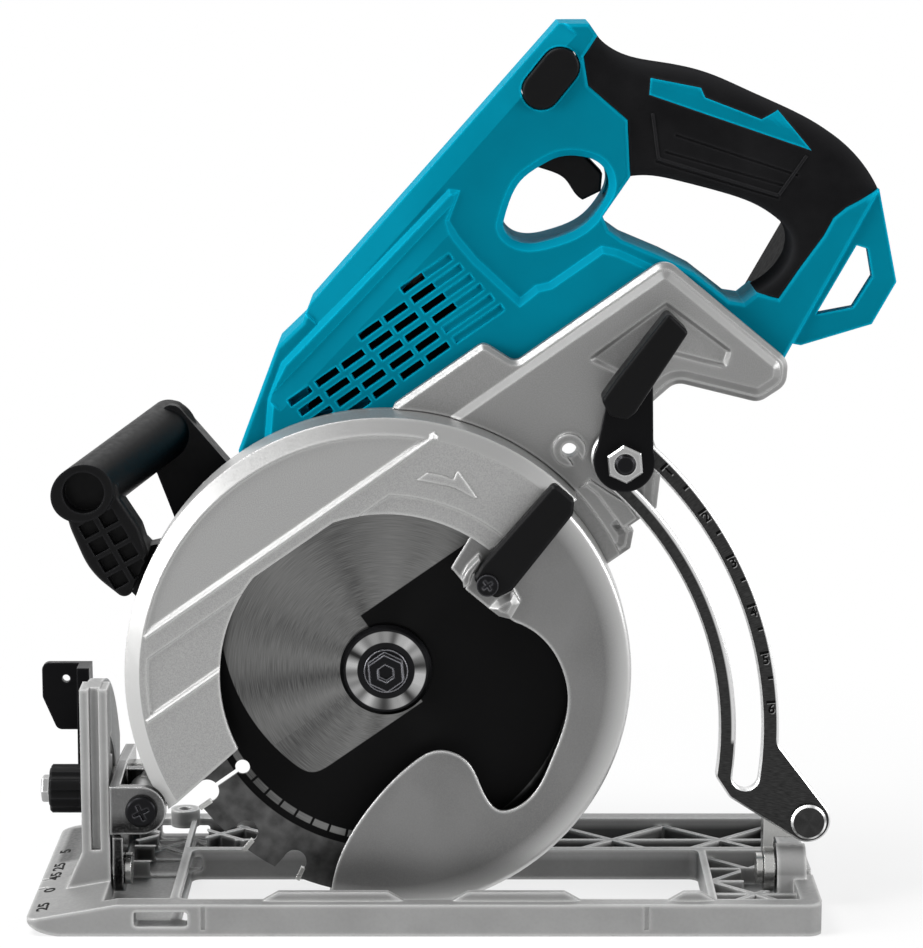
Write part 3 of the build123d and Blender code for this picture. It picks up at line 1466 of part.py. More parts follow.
# Front grip: a bar on two legs, joined behind the guard
GRIP_NEAR = (-53.7, 125)
GRIP_FAR = (-21, 121)
with BuildPart() as front_grip:
    with BuildSketch(head_at(4)) as near_leg:
        with BuildLine():
            Polyline(
                (-60.4, 131.8), (-66.5, 116.9), (-70.6, 98.2), (-65.4, 80.2), (-47.5, 91.5), (-44.4, 101.4),
                (-43.8, 115.4), (-39.8, 122.1), (-60.4, 131.8),
            )
        make_face()
        fillet(near_leg.vertices().sort_by(Axis.X)[:2], 30)
        fillet(near_leg.vertices().sort_by(Axis.X)[4:], 3.5)
    extrude(amount=14)
    fillet(front_grip.faces().sort_by(Axis.Y)[0].edges(), 2.5)
    with BuildSketch(head_at(58)) as far_leg:
        with BuildLine():
            Polyline(
                (-17.5, 131.5), (-13.3, 127), (-10.4, 96.6), (-12, 84), (-42, 70), (-40.7, 91.3),
                (-34.7, 114.6), (-17.5, 131.5),
            )
        make_face()
        fillet(far_leg.vertices().sort_by(Axis.Y)[-2:], 4)
    extrude(amount=13)
    # root of the near leg and the yoke behind the housing plate
    with BuildSketch(head_at(25)):
        with BuildLine():
            Polyline((-68.5, 96), (-64, 82), (-49.5, 91), (-52, 106), (-68.5, 96))
        make_face()
    extrude(amount=29)
    with BuildSketch(head_at(25)):
        with BuildLine():
            Polyline(
                (-68.5, 96), (-63, 58), (-44, 58), (-28, 70), (-28, 82), (-49.5, 91), (-52, 106), (-68.5, 96),
            )
        make_face()
    extrude(amount=25 - BACK_Y)
    with BuildSketch(head_at(58)):
        with BuildLine():
            Polyline((-42, 70), (-12, 84), (-14, 70), (-40, 58), (-56, 60), (-42, 70))
        make_face()
    extrude(amount=58 - BACK_Y)
    # bar with a round open end, cut square to the blade just outside the near leg
    near_end = Vector(*from_head(GRIP_NEAR, -10))
    far_end = Vector(*from_head(GRIP_FAR, 56))
    bar_start = near_end - (far_end - near_end) * 0.1
    with BuildSketch(Plane(origin=bar_start, z_dir=far_end - near_end)):
        Circle(11)
    extrude(amount=(far_end - bar_start).length)
    split(bisect_by=head_at(-11.5), keep=Keep.BOTTOM)
    with BuildSketch(head_at(-12)):
        with Locations(GRIP_NEAR):
            Circle(8)
    extrude(amount=-8, mode=Mode.SUBTRACT)
    # pockets of the near leg
    with BuildSketch(head_at(-10)):
        with Locations(Location((-57.5, 100.5, 0), -6)):
            with GridLocations(8.6, 7.6, 2, 4):
                Rectangle(6.4, 5.6)
    extrude(amount=-4, mode=Mode.SUBTRACT)
    with BuildSketch(head_at(25)):
        with Locations(*GRIP_SCREWS):
            Circle(2)
    extrude(amount=14, mode=Mode.SUBTRACT)
front_grip.part.label = "front_grip"
export_step(front_grip.part, "parts/front_grip.step")

# Screws of the front grip
with BuildPart() as grip_screws:
    with BuildSketch(head_at(25)):
        with Locations(*GRIP_SCREWS):
            Circle(2)
    extrude(amount=15.6)
    with BuildSketch(head_at(27.6)):
        with Locations(*GRIP_SCREWS):
            Circle(3.8)
    extrude(amount=2.6)
grip_screws.part.label = "grip_screws"
export_step(grip_screws.part, "parts/grip_screws.step")

# Screws of the upper guard
with BuildPart() as guard_screws:
    with BuildSketch(head_at(BACK_Y)):
        with Locations(*GUARD_SCREWS):
            Circle(1.2)
    extrude(amount=11)
    with BuildSketch(head_at(BACK_Y + 1.8)):
        with Locations(*GUARD_SCREWS):
            Circle(2.2)
    extrude(amount=1.8)
guard_screws.part.label = "guard_screws"
export_step(guard_screws.part, "parts/guard_screws.step")

# Trigger
with BuildPart() as trigger:
    with BuildSketch(head_at(45)) as finger:
        with BuildLine():
            Polyline(
                (157.6, 126.4), (166.1, 125.4), (176.5, 120.5), (178.4, 108), (174, 102.7), (166.2, 103.9),
            )
            Spline((166.2, 103.9), (165.2, 108), (165.2, 114.4), (161.3, 121.6), (157.6, 126.4))
        make_face()
        fillet(finger.vertices().filter_by_position(Axis.Y, 100, 122), 0.8)
    extrude(amount=18)
    fillet(trigger.edges().filter_by(GeomType.BSPLINE), 1.2)
trigger.part.label = "trigger"
export_step(trigger.part, "parts/trigger.step")

# Lock-off button that passes right through the handle
with BuildPart() as lock_off_button:
    with BuildSketch(head_at(61.5)):
        with Locations(LOCK_OFF):
            SlotOverall(26, 14.4, rotation=16)
    extrude(amount=48.3)
    fillet(lock_off_button.edges().group_by(Axis.Y)[0], 1)
    fillet(lock_off_button.edges().group_by(Axis.Y)[-1], 1)
lock_off_button.part.label = "lock_off_button"
export_step(lock_off_button.part, "parts/lock_off_button.step")

# Switch and motor controller inside the handle
with BuildPart() as switch_unit:
    with BuildSketch(head_at(48)):
        with Locations((177.5, 133.5)):
            Rectangle(19, 11)
    extrude(amount=24)
    with BuildSketch(head_at(39)):
        with Locations((181, 127)):
            Circle(2)
    extrude(amount=6)
switch_unit.part.label = "switch_unit"
export_step(switch_unit.part, "parts/switch_unit.step")

with BuildPart() as motor_controller:
    with BuildSketch(head_at(50)):
        with Locations((80, 101)):
            Rectangle(60, 28)
    extrude(amount=29)
    with BuildSketch(head_at(53)):
        with Locations((80, 101)):
            with GridLocations(6, 1, 8, 1):
                Rectangle(2, 22)
    extrude(amount=3)
motor_controller.part.label = "motor_controller"
export_step(motor_controller.part, "parts/motor_controller.step")

# Battery mount: a plate under the sloping rear edge with two pairs of rails, and its terminals
with BuildPart() as battery_mount:
    with BuildSketch(head_at(168)):
        with BuildLine():
            Polyline(rear(3, 5.3), rear(61, 5.3), rear(61, 8.4), rear(3, 8.4), rear(3, 5.3))
        make_face()
    extrude(amount=140)
    for middle in BATTERY_MIDDLES:
        for side in (-1, 1):
            with BuildSketch(head_at(middle + side * 27 + 4)):
                with BuildLine():
                    Polyline(rear(3, 5.4), rear(61, 5.4), rear(61, 0.4), rear(3, 0.4), rear(3, 5.4))
                make_face()
            extrude(amount=8)
            with BuildSketch(head_at(middle + side * 24.5 + 4.5)):
                with BuildLine():
                    Polyline(rear(3, 2.6), rear(61, 2.6), rear(61, 0.4), rear(3, 0.4), rear(3, 2.6))
                make_face()
            extrude(amount=9)
    # wall between the two batteries and wall at the end
    for far in (168, 100):
        with BuildSketch(head_at(far)):
            with BuildLine():
                Polyline(rear(3, 5.4), rear(61, 5.4), rear(61, -1.5), rear(3, -1.5), rear(3, 5.4))
            make_face()
        extrude(amount=3)
    # gussets beside the handle
    for place in (20, 38, 56):
        with BuildSketch(along(rear(place, 8), rear(place + 1, 8))):
            Polygon((FAR_Y + 0.3, 0), (92, 0), (FAR_Y + 0.3, 8), align=None)
        extrude(amount=3)
    # stop wall behind the terminals
    with BuildSketch(head_at(168)):
        with BuildLine():
            Polyline(rear(57, 5.4), rear(61, 5.4), rear(61, 0.4), rear(57, 0.4), rear(57, 5.4))
        make_face()
    extrude(amount=140)
battery_mount.part.label = "battery_mount"
export_step(battery_mount.part, "parts/battery_mount.step")

with BuildPart() as battery_terminals:
    for middle in BATTERY_MIDDLES:
        with BuildSketch(head_at(middle + 11)):
            with BuildLine():
                Polyline(rear(36, 5.3), rear(57, 5.3), rear(57, 1.2), rear(36, 1.2), rear(36, 5.3))
            make_face()
        extrude(amount=22)
battery_terminals.part.label = "battery_terminals"
export_step(battery_terminals.part, "parts/battery_terminals.step")
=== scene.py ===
import math

import bmesh
import bpy
from mathutils import Matrix, Vector


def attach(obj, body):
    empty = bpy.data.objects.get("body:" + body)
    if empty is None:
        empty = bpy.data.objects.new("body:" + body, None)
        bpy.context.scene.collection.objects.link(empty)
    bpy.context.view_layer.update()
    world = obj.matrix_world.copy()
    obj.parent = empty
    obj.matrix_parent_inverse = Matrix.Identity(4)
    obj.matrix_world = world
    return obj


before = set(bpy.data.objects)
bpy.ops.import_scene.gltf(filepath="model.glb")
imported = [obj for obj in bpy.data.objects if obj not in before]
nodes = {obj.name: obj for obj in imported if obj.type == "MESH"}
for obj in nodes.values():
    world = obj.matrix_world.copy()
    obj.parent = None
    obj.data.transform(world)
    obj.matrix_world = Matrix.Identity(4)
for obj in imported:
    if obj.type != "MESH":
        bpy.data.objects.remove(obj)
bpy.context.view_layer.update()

# Axes of the saw
MM = 0.001
SPINDLE = Vector((0, 0, 95.9)) * MM
HEAD_TILT = math.radians(35)
GUIDE_HINGE = Vector((165.6, 0, 35.1)) * MM
GUIDE_MIDDLE = Vector((0.7, 0, 71.0)) * MM
NEAR_SIDE = Vector((0, -1, 0))

# Zones of the materials, in millimetres
TRIGGER_HOLE = (150, 111)
DISH_RADII = (14.0, 56.0)
DISH_DEPTH = 5.0
# Span along the head over which painted light on slopes fades, and radii where light is painted on the
# guard's rim
PAINTED_LIGHT_FADE = (-20.0, 45.0)
GUARD_RIM = (85.0, 95.0)
# Box of the base's pockets, where shade is painted
POCKETS_ALONG = (-134.0, 164.0)
POCKETS_ACROSS = (34.0, 84.0)
POCKETS_TOP = 8.8
# Radii of painted highlights on the depth guide, and a height below which the outer one stops
SLOT_RIM = (134.3, 137.0)
GUIDE_RIM = (151.9, 153.5)
GUIDE_RIM_FOOT = -4.0
FLANGE_BEVEL = (11.2, 15.6)
PIN_BEVEL = (6.1, 7.6)

# Print on the blade, in millimetres on the raised head
PANEL_MIDDLE = (19.7, 10.6)
PANEL_RADIUS = 74.5
PANEL_FOOT = -19.0
PANEL_ROUNDING = 9.0
PRINT_CORNER = (4.0, 23.0)
BARE_RIM = 72.5
DASH_RING = (66.8, 69.6)
DASHES_END = -10.0

# Dashes in a whole ring, and the share of each step that is bare
DASH_COUNT = 60
DASH_SHARE = 0.86

# Marks and trim, in millimetres and degrees, with slope and stretch as plain factors
MARK_THICK = 0.05
TICK_ANGLES = (44.6, 40.1, 35.8, 31.8, 27.8, 23.8, 19.7, 15.9, 12.2, 8.3, 4.6)
TICK_OUTER = 151.8
TICK_INNER = 148.2
HALF_TICK_INNER = 149.7
TICK_WIDTH = 1.1
GUIDE_NUMBER_RADIUS = 150.0
GUIDE_NUMBER_DROP = 2.9
GUIDE_NUMBER_SIZE = 5.2
GUIDE_FACE = -3.05
GLINT_FACE = -3.0
GLINT_SHIFT = (0.28, 0, -0.3)
NOSE_CREST = Vector((-100, 0, 13))
NOSE_SLOPE = 0.18
NOSE_NUMBERS = (("25", -26.0), ("0", -4.0), ("45", 15.0), ("25", 28.0), ("5", 50.0))
NOSE_NUMBER_X = -132.6
NOSE_NUMBER_LIFT = 0.02
NOSE_NUMBER_SIZE = 6.2
NOSE_NUMBER_STRETCH = 1.7
ARROW = (
    (54.0, 56.9), (59.0, 57.2), (63.2, 53.3), (66.8, 49.1), (69.3, 50.7), (70.1, 50.3), (69.7, 37.0),
    (69.0, 36.7), (66.8, 40.8), (64.3, 44.7), (61.9, 48.0), (59.4, 51.0), (56.8, 53.9),
)
ARROW_MIDDLE = (65.5, 47.5)
ARROW_FACE = -16.0
ARROW_RISE = 0.6
ARROW_SLOPE = 1.1
PALM_PANEL = ((207.5, 117.0), (199.5, 101.3), (229.5, 63.0), (247.0, 69.5))
PALM_FACE = 17.0
PALM_LINE_WIDTH = 1.3
PALM_LINE_THICK = 0.35

# Studio, in metres and watts, with the lens in millimetres
FLOOR_REACH = 6.0
FLOOR_FADE = (0.2, 0.45)
LAMP_TARGET = Vector((0.03, 0, 0.16))
LAMPS = (
    ("left", (-1.4, -0.5, 0.55), 0.7, 17),
    ("crest", (-0.75, -0.15, 1.6), 0.8, 22),
    ("right", (1.35, -0.5, 0.6), 0.7, 14),
    ("back", (0.1, 1.2, 1.2), 1.0, 4),
)
CAMERA_PLACE = Vector((29.4, -1286.9, 399.8)) * MM
CAMERA_PITCH = math.radians(80)
CAMERA_LENS = 128.35
CAMERA_SENSOR = 36.0

# Strength of the floor's white beside the saw, and of the light that the world gives
FLOOR_GLOW = 0.78
WORLD_LIGHT = 0.06

# Span in which most values of a noise lie
MIDDLE = (0.3, 0.7)

# Cosine of the turn that rounding gives a normal, on a sharp edge and on nearly flat ground
EDGE_SPAN = (0.72, 0.985)


def head(u, v, y):
    """Point of the raised head: u back along it, v up from it and y across, in millimetres."""
    x = u * math.cos(HEAD_TILT) - v * math.sin(HEAD_TILT)
    z = u * math.sin(HEAD_TILT) + v * math.cos(HEAD_TILT)
    return SPINDLE + Vector((x, y, z)) * MM


def srgb(red, green, blue):
    """Linear colour from eight bit screen values."""
    def line(c):
        c /= 255
        return c / 12.92 if c <= 0.04045 else ((c + 0.055) / 1.055) ** 2.4
    return (line(red), line(green), line(blue), 1)


def grey(level, blue=None):
    """Grey of a linear level, with its blue a little apart where one is given."""
    return (level, level, level if blue is None else blue, 1)


def shade(colour, factor):
    """The same colour, lighter or darker."""
    return tuple(min(c * factor, 1) for c in colour[:3]) + (1,)


class Shader:
    """A material with short calls for the nodes that this scene uses."""

    def __init__(self, name, rough=0.5, metal=0.0, shine=0.5):
        self.material = bpy.data.materials.new(name)
        self.material.use_nodes = True
        self.tree = self.material.node_tree
        self.main = self.tree.nodes["Principled BSDF"]
        self.main.inputs["Roughness"].default_value = rough
        self.main.inputs["Metallic"].default_value = metal
        self.main.inputs["Specular IOR Level"].default_value = shine
        self.place = self.tree.nodes.new("ShaderNodeTexCoord").outputs["Object"]

    def node(self, kind, **values):
        made = self.tree.nodes.new(kind)
        for key, value in values.items():
            setattr(made, key, value)
        return made

    def link(self, source, target):
        self.tree.links.new(source, target)

    def fill(self, socket, value):
        """Links a socket, or sets it to a plain value."""
        if isinstance(value, bpy.types.NodeSocket):
            self.link(value, socket)
        else:
            socket.default_value = value

    def colour(self, value):
        self.fill(self.main.inputs["Base Color"], value)

    def rough(self, value):
        self.fill(self.main.inputs["Roughness"], value)

    def math(self, how, a, b=0.0, c=0.0, clamp=False):
        made = self.node("ShaderNodeMath", operation=how, use_clamp=clamp)
        for socket, value in zip(made.inputs, (a, b, c)):
            self.fill(socket, value)
        return made.outputs[0]

    def length(self, a, b):
        """Length of the long side of a right triangle with short sides a and b."""
        squares = self.math("ADD", self.math("MULTIPLY", a, a), self.math("MULTIPLY", b, b))
        return self.math("SQRT", squares)

    def ramp(self, value, low, high, start=0.0, end=1.0, how="LINEAR"):
        """Maps value from low..high to start..end, held at both ends."""
        made = self.node("ShaderNodeMapRange", clamp=True, interpolation_type=how)
        for socket, number in zip(made.inputs, (value, low, high, start, end)):
            self.fill(socket, number)
        return made.outputs[0]

    def mix(self, factor, a, b):
        made = self.node("ShaderNodeMix", data_type="RGBA")
        self.fill(made.inputs["Factor"], factor)
        self.fill(made.inputs["A"], a)
        self.fill(made.inputs["B"], b)
        return made.outputs["Result"]

    def axis(self, vector, index):
        made = self.node("ShaderNodeSeparateXYZ")
        self.link(vector, made.inputs[0])
        return made.outputs[index]

    def texture(self, vector, scale, detail, rough=0.5):
        made = self.node("ShaderNodeTexNoise")
        made.inputs["Scale"].default_value = scale
        made.inputs["Detail"].default_value = detail
        made.inputs["Roughness"].default_value = rough
        self.link(vector, made.inputs["Vector"])
        return made.outputs["Fac"]

    def noise(self, scale, detail=3.0, stretch=(1, 1, 1), rough=0.5):
        """Noise in the object's own space, with its steps per metre."""
        move = self.node("ShaderNodeMapping")
        move.inputs["Scale"].default_value = stretch
        self.link(self.place, move.inputs["Vector"])
        return self.texture(move.outputs["Vector"], scale, detail, rough)

    def ring_noise(self, place, across, around, detail=2.0):
        """Noise in rings about an axis, with its steps per millimetre across and per radian around."""
        u, v, out = place
        spot = self.node("ShaderNodeCombineXYZ")
        self.link(self.math("MULTIPLY", out, across), spot.inputs[0])
        self.link(self.math("MULTIPLY", self.math("ARCTAN2", v, u), around), spot.inputs[1])
        return self.texture(spot.outputs[0], 1.0, detail)

    def flakes(self):
        """Noise of fine metal flakes in paint."""
        return self.noise(scale=2600.0, detail=2.0, rough=0.8)

    def sectors(self, place):
        """Noise of broad light and dark sectors about an axis, for painted reflections like those that
        turned metal shows under lamps.
        """
        return self.ring_noise(place, across=0.004, around=1.6, detail=1.0)

    def about(self, middle, lean=0.0):
        """Distances in millimetres from an axis across the saw: along, up and straight out."""
        x = self.math("MULTIPLY", self.math("SUBTRACT", self.axis(self.place, 0), middle.x), 1 / MM)
        z = self.math("MULTIPLY", self.math("SUBTRACT", self.axis(self.place, 2), middle.z), 1 / MM)
        run, rise = math.cos(lean), math.sin(lean)
        u = self.math("ADD", self.math("MULTIPLY", x, run), self.math("MULTIPLY", z, rise))
        v = self.math("SUBTRACT", self.math("MULTIPLY", z, run), self.math("MULTIPLY", x, rise))
        return u, v, self.length(u, v)

    def above(self, value, edge, soft=0.15):
        """One where value is over the edge, zero below it."""
        return self.ramp(value, edge - soft, edge + soft)

    def below(self, value, edge, soft=0.15):
        """One where value is under the edge, zero over it."""
        return self.ramp(value, edge - soft, edge + soft, 1.0, 0.0)

    def both(self, *masks):
        """One where all masks are."""
        made = masks[0]
        for mask in masks[1:]:
            made = self.math("MULTIPLY", made, mask)
        return made

    def rounded(self, radius):
        """Normal of the surface with its edges rounded."""
        soft = self.node("ShaderNodeBevel", samples=4)
        soft.inputs["Radius"].default_value = radius
        return soft.outputs[0]

    def edges(self, radius):
        """One on edges within radius, zero on flat ground."""
        dot = self.node("ShaderNodeVectorMath", operation="DOT_PRODUCT")
        self.link(self.rounded(radius), dot.inputs[0])
        self.link(self.node("ShaderNodeNewGeometry").outputs["Normal"], dot.inputs[1])
        return self.ramp(dot.outputs["Value"], *EDGE_SPAN, 1.0, 0.0)

    def facing_sideways(self, low=0.9, high=0.97):
        """One on faces that look straight to either side of the saw, zero on their edges and walls."""
        turn = self.node("ShaderNodeVectorTransform", vector_type="NORMAL")
        turn.convert_from = "WORLD"
        turn.convert_to = "OBJECT"
        self.link(self.node("ShaderNodeNewGeometry").outputs["True Normal"], turn.inputs[0])
        return self.ramp(self.math("ABSOLUTE", self.axis(turn.outputs[0], 1)), low, high)

    def mottle(self, noise, colour, dark, light, span=MIDDLE):
        """The colour, shaded from dark to light by a noise within its span."""
        return self.mix(self.ramp(noise, *span), shade(colour, dark), shade(colour, light))

    def painted_edge_highlight(self, body, colour, radius, amount=1.0):
        """The body with a painted highlight: an amount of a colour on its edges."""
        return self.mix(self.math("MULTIPLY", self.edges(radius), amount), body, colour)

    def bump(self, height, strength, depth, edge=0.0, under=None):
        """Relief on the surface, over edges rounded by the edge radius and an under layer in metres."""
        normal = self.rounded(edge) if edge else None
        layers = [(under, 1.0, 1.0)] if under else []
        for relief, amount, tall in layers + [(height, strength, depth)]:
            made = self.node("ShaderNodeBump")
            made.inputs["Strength"].default_value = amount
            made.inputs["Distance"].default_value = tall
            self.link(relief, made.inputs["Height"])
            if normal:
                self.link(normal, made.inputs["Normal"])
            normal = made.outputs[0]
        self.link(normal, self.main.inputs["Normal"])

    def brushed_round(self, amount):
        """Stretches reflections as lathe lines round an axis across the saw do."""
        tangent = self.node("ShaderNodeTangent", direction_type="RADIAL", axis="Y")
        self.link(tangent.outputs[0], self.main.inputs["Tangent"])
        self.main.inputs["Anisotropic"].default_value = amount


# Materials
def plastic(name, colour, rough, edge_highlight, shine, walls=1.0, dish=None):
    """Moulded plastic: fine grain, faint clouds, painted highlights on its edges, walls painted lighter as
    if lit, and a dish round a point.
    """
    made = Shader(name, shine=shine)
    clouds = made.mottle(made.noise(scale=38.0, detail=2.0), colour, dark=0.94, light=1.05)
    # Painted light: walls and slopes lighter by a factor, and a painted highlight on the edges
    body = made.mix(made.facing_sideways(), shade(colour, walls), clouds)
    made.colour(made.painted_edge_highlight(body, shade(colour, edge_highlight), radius=1.8 * MM, amount=0.9))
    made.rough(made.ramp(made.noise(scale=420.0), *MIDDLE, rough - 0.06, rough + 0.08))
    hollow = None
    if dish:
        out = made.about(dish, HEAD_TILT)[2]
        hollow = made.ramp(out, *DISH_RADII, 0.0, DISH_DEPTH * MM, "SMOOTHERSTEP")
    grain = made.noise(scale=2600.0, detail=2.0)
    made.bump(grain, strength=0.3, depth=0.05 * MM, edge=0.6 * MM, under=hollow)
    return made.material


def rubber(name, colour):
    """Soft grip: dull, with a fine leathery grain, and painted highlights on its rounded parts and edges."""
    made = Shader(name, shine=0.0)
    flat = made.mottle(made.noise(scale=60.0), colour, dark=0.8, light=1.25)
    # Painted highlights: rounded parts lighter, edges lighter still
    body = made.mix(made.facing_sideways(low=0.3), shade(colour, 2.2), flat)
    made.colour(made.painted_edge_highlight(body, shade(colour, 3.6), radius=1.6 * MM, amount=0.8))
    made.rough(made.ramp(made.noise(scale=300.0), *MIDDLE, start=0.5, end=0.64))
    made.bump(made.noise(scale=1500.0), strength=0.4, depth=0.08 * MM, edge=0.8 * MM)
    return made.material


def sparkle_paint(name, colour, rim=1.8, slopes=1.45):
    """Silver paint on a casting: flakes, a pebbled skin, painted light on slopes, lighter in front and
    darker behind, and painted highlights on the edges.
    """
    made = Shader(name, metal=0.55, shine=0.3)
    flat = made.mottle(made.flakes(), colour, dark=0.84, light=1.14, span=(0.36, 0.66))
    # Painted light and shade on slopes: lighter in front, darker behind
    behind = made.ramp(made.about(SPINDLE, HEAD_TILT)[0], *PAINTED_LIGHT_FADE)
    slope = made.mix(behind, shade(colour, slopes), shade(colour, 0.9))
    body = made.mix(made.facing_sideways(), slope, flat)
    made.colour(made.painted_edge_highlight(body, shade(colour, rim), radius=2.4 * MM))
    made.rough(made.ramp(made.noise(scale=1200.0), 0.35, 0.65, start=0.29, end=0.45))
    made.bump(made.noise(scale=1500.0), strength=0.3, depth=0.06 * MM, edge=0.8 * MM)
    return made.material


def guard_steel(name, colour):
    """Satin guard with a painted sheen in broad sweeps, and painted highlights on its outer rim, walls and
    edges.
    """
    made = Shader(name, rough=0.34, metal=0.65, shine=0.3)
    place = made.about(SPINDLE, HEAD_TILT)
    # Painted sheen: broad lighter and darker sweeps round the spindle
    sheen = made.ring_noise(place, across=0.02, around=1.3)
    satin = made.mottle(sheen, colour, dark=0.8, light=1.15, span=(0.35, 0.65))
    body = made.mix(made.ramp(made.flakes(), 0.4, 0.66, end=0.35), satin, shade(colour, 1.5))
    # Painted highlights: the outer rim, then walls and slopes, then edges
    rim = made.mix(made.ramp(place[2], *GUARD_RIM), body, shade(colour, 3.2))
    rim = made.mix(made.facing_sideways(), shade(colour, 3.4), rim)
    made.colour(made.painted_edge_highlight(rim, shade(colour, 4.2), radius=2.4 * MM))
    made.bump(made.noise(scale=1500.0), strength=0.2, depth=0.05 * MM, edge=0.8 * MM)
    return made.material


def cast_metal(name, colour):
    """Blasted light casting, slightly cloudy, with painted highlights on its edges and painted shade in its
    deep pockets.
    """
    made = Shader(name, metal=0.45, shine=0.3)
    body = made.mottle(made.noise(scale=45.0, detail=4.0), colour, dark=0.9, light=1.05)
    along, across, height = (made.math("MULTIPLY", made.axis(made.place, i), 1 / MM) for i in range(3))
    # Painted shade: a mask of the deep pockets, darkened below towards a tenth of the colour
    pockets = made.both(
        made.above(along, POCKETS_ALONG[0], soft=1.0),
        made.below(along, POCKETS_ALONG[1], soft=1.0),
        made.above(across, POCKETS_ACROSS[0], soft=2.0),
        made.below(across, POCKETS_ACROSS[1], soft=1.0),
        made.below(height, POCKETS_TOP, soft=1.2),
    )
    body = made.mix(made.math("MULTIPLY", pockets, 0.8), body, shade(colour, 0.1))
    made.colour(made.painted_edge_highlight(body, shade(colour, 2.3), radius=3.0 * MM, amount=0.9))
    made.rough(made.ramp(made.noise(scale=700.0), *MIDDLE, start=0.42, end=0.6))
    made.bump(made.noise(scale=1700.0), strength=0.3, depth=0.06 * MM, edge=0.7 * MM)
    return made.material


def plated_steel(name, colour, rough, rim=1.35, wear=1.2 * MM):
    """Plated or blackened steel: very fine grain, thin scuffs and painted highlights on the edges."""
    made = Shader(name, metal=1.0)
    grain = made.noise(scale=3200.0, detail=2.0)
    scuffs = made.noise(scale=90.0, detail=4.0, stretch=(1, 1, 6))
    body = made.mottle(grain, colour, dark=0.92, light=1.06)
    # Painted highlight on the edges: rim times the colour, over the width given by wear
    made.colour(made.painted_edge_highlight(body, shade(colour, rim), wear))
    made.rough(made.ramp(scuffs, 0.35, 0.7, rough - 0.04, rough + 0.08))
    made.bump(grain, strength=0.12, depth=0.02 * MM, edge=0.4 * MM)
    return made.material


def plating_with_painted_reflections(name, dark, light, rim):
    """Bright plating on pressed steel with painted reflections in patches from dark to light, and painted
    highlights on the edges.
    """
    made = Shader(name, metal=1.0)
    # Painted reflections: broad patches from dark to light
    painted_reflections = made.ramp(made.noise(scale=42.0, detail=1.0), 0.38, 0.62)
    grain = made.noise(scale=2200.0, detail=2.0)
    body = made.mix(made.ramp(grain, 0.5, 0.75, end=0.12), made.mix(painted_reflections, dark, light), rim)
    made.colour(made.painted_edge_highlight(body, rim, radius=1.6 * MM))
    made.rough(made.ramp(grain, *MIDDLE, start=0.14, end=0.26))
    made.bump(grain, strength=0.12, depth=0.02 * MM, edge=0.6 * MM)
    return made.material


def brushed_bar(name, colour, rim):
    """Dark pressed steel, brushed across its length, with painted highlights along the slot, on the outside
    edge and on its walls.
    """
    made = Shader(name, metal=1.0)
    place = made.about(GUIDE_MIDDLE)
    up, out = place[1:]
    lines = made.ring_noise(place, across=0.35, around=420.0, detail=3.0)
    body = made.mottle(lines, colour, dark=0.75, light=1.5, span=(0.35, 0.68))
    # Painted highlights: bands along the slot and the outer edge, and the walls
    slot = made.both(made.above(out, SLOT_RIM[0], soft=0.3), made.below(out, SLOT_RIM[1]))
    outside = made.both(made.above(out, GUIDE_RIM[0]), made.below(out, GUIDE_RIM[1]))
    ground = made.both(made.math("MAXIMUM", slot, outside), made.above(up, GUIDE_RIM_FOOT, soft=1.0))
    wall = made.math("SUBTRACT", 1.0, made.facing_sideways())
    made.colour(made.mix(made.math("MAXIMUM", ground, wall), body, rim))
    made.rough(made.ramp(lines, *MIDDLE, start=0.34, end=0.44))
    made.bump(lines, strength=0.12, depth=0.03 * MM)
    return made.material


def blade_print(made, place):
    """Masks of the blade: one where its steel shows through the print, and one on its bare rim."""
    u, v, out = place
    across = made.math("SUBTRACT", u, PANEL_MIDDLE[0])
    along = made.math("SUBTRACT", v, PANEL_MIDDLE[1])
    inside = made.math("SUBTRACT", PANEL_RADIUS, made.length(across, along))
    over_foot = made.math("SUBTRACT", v, PANEL_FOOT)
    panel = made.above(made.math("SMOOTH_MIN", inside, over_foot, PANEL_ROUNDING), 0.0)
    corner = made.both(made.above(u, PRINT_CORNER[0]), made.below(v, PRINT_CORNER[1]))
    bare = made.math("SUBTRACT", panel, corner, clamp=True)
    ring = made.both(made.above(out, DASH_RING[0]), made.below(out, DASH_RING[1]))
    ring = made.both(ring, made.below(u, DASHES_END, soft=5.0))
    steps = made.math("MULTIPLY", made.math("ARCTAN2", v, u), DASH_COUNT / (2 * math.pi))
    dashes = made.both(ring, made.below(made.math("FRACT", steps), DASH_SHARE, soft=0.02))
    rim = made.above(out, BARE_RIM)
    return made.math("MAXIMUM", made.math("MAXIMUM", bare, dashes), rim), rim


def blade_steel(name, ink):
    """Saw blade: ground in circles, with painted reflections in broad sectors, and a black print that leaves
    a panel, dashes and the rim bare.
    """
    made = Shader(name, shine=0.05)
    made.brushed_round(0.92)
    place = made.about(SPINDLE, HEAD_TILT)
    wisps = made.ring_noise(place, across=3.2, around=5.0, detail=3.0)
    # Painted reflections: the ground steel lighter and darker in broad sectors
    ground = made.mix(made.ramp(made.sectors(place), 0.36, 0.64), grey(0.05), grey(0.155, 0.153))
    steel = made.mix(made.ramp(wisps, 0.35, 0.75, end=0.4), ground, grey(0.27, 0.266))
    clouds = made.noise(scale=160.0, detail=4.0)
    dull = made.mix(made.ramp(clouds, *MIDDLE), grey(0.05), grey(0.11))
    shown, rim = blade_print(made, place)
    made.colour(made.mix(shown, ink, made.mix(rim, steel, dull)))
    made.fill(made.main.inputs["Metallic"], shown)
    made.rough(made.ramp(shown, 0.0, 1.0, start=0.42, end=0.32))
    made.bump(wisps, strength=0.1, depth=0.02 * MM)
    return made.material


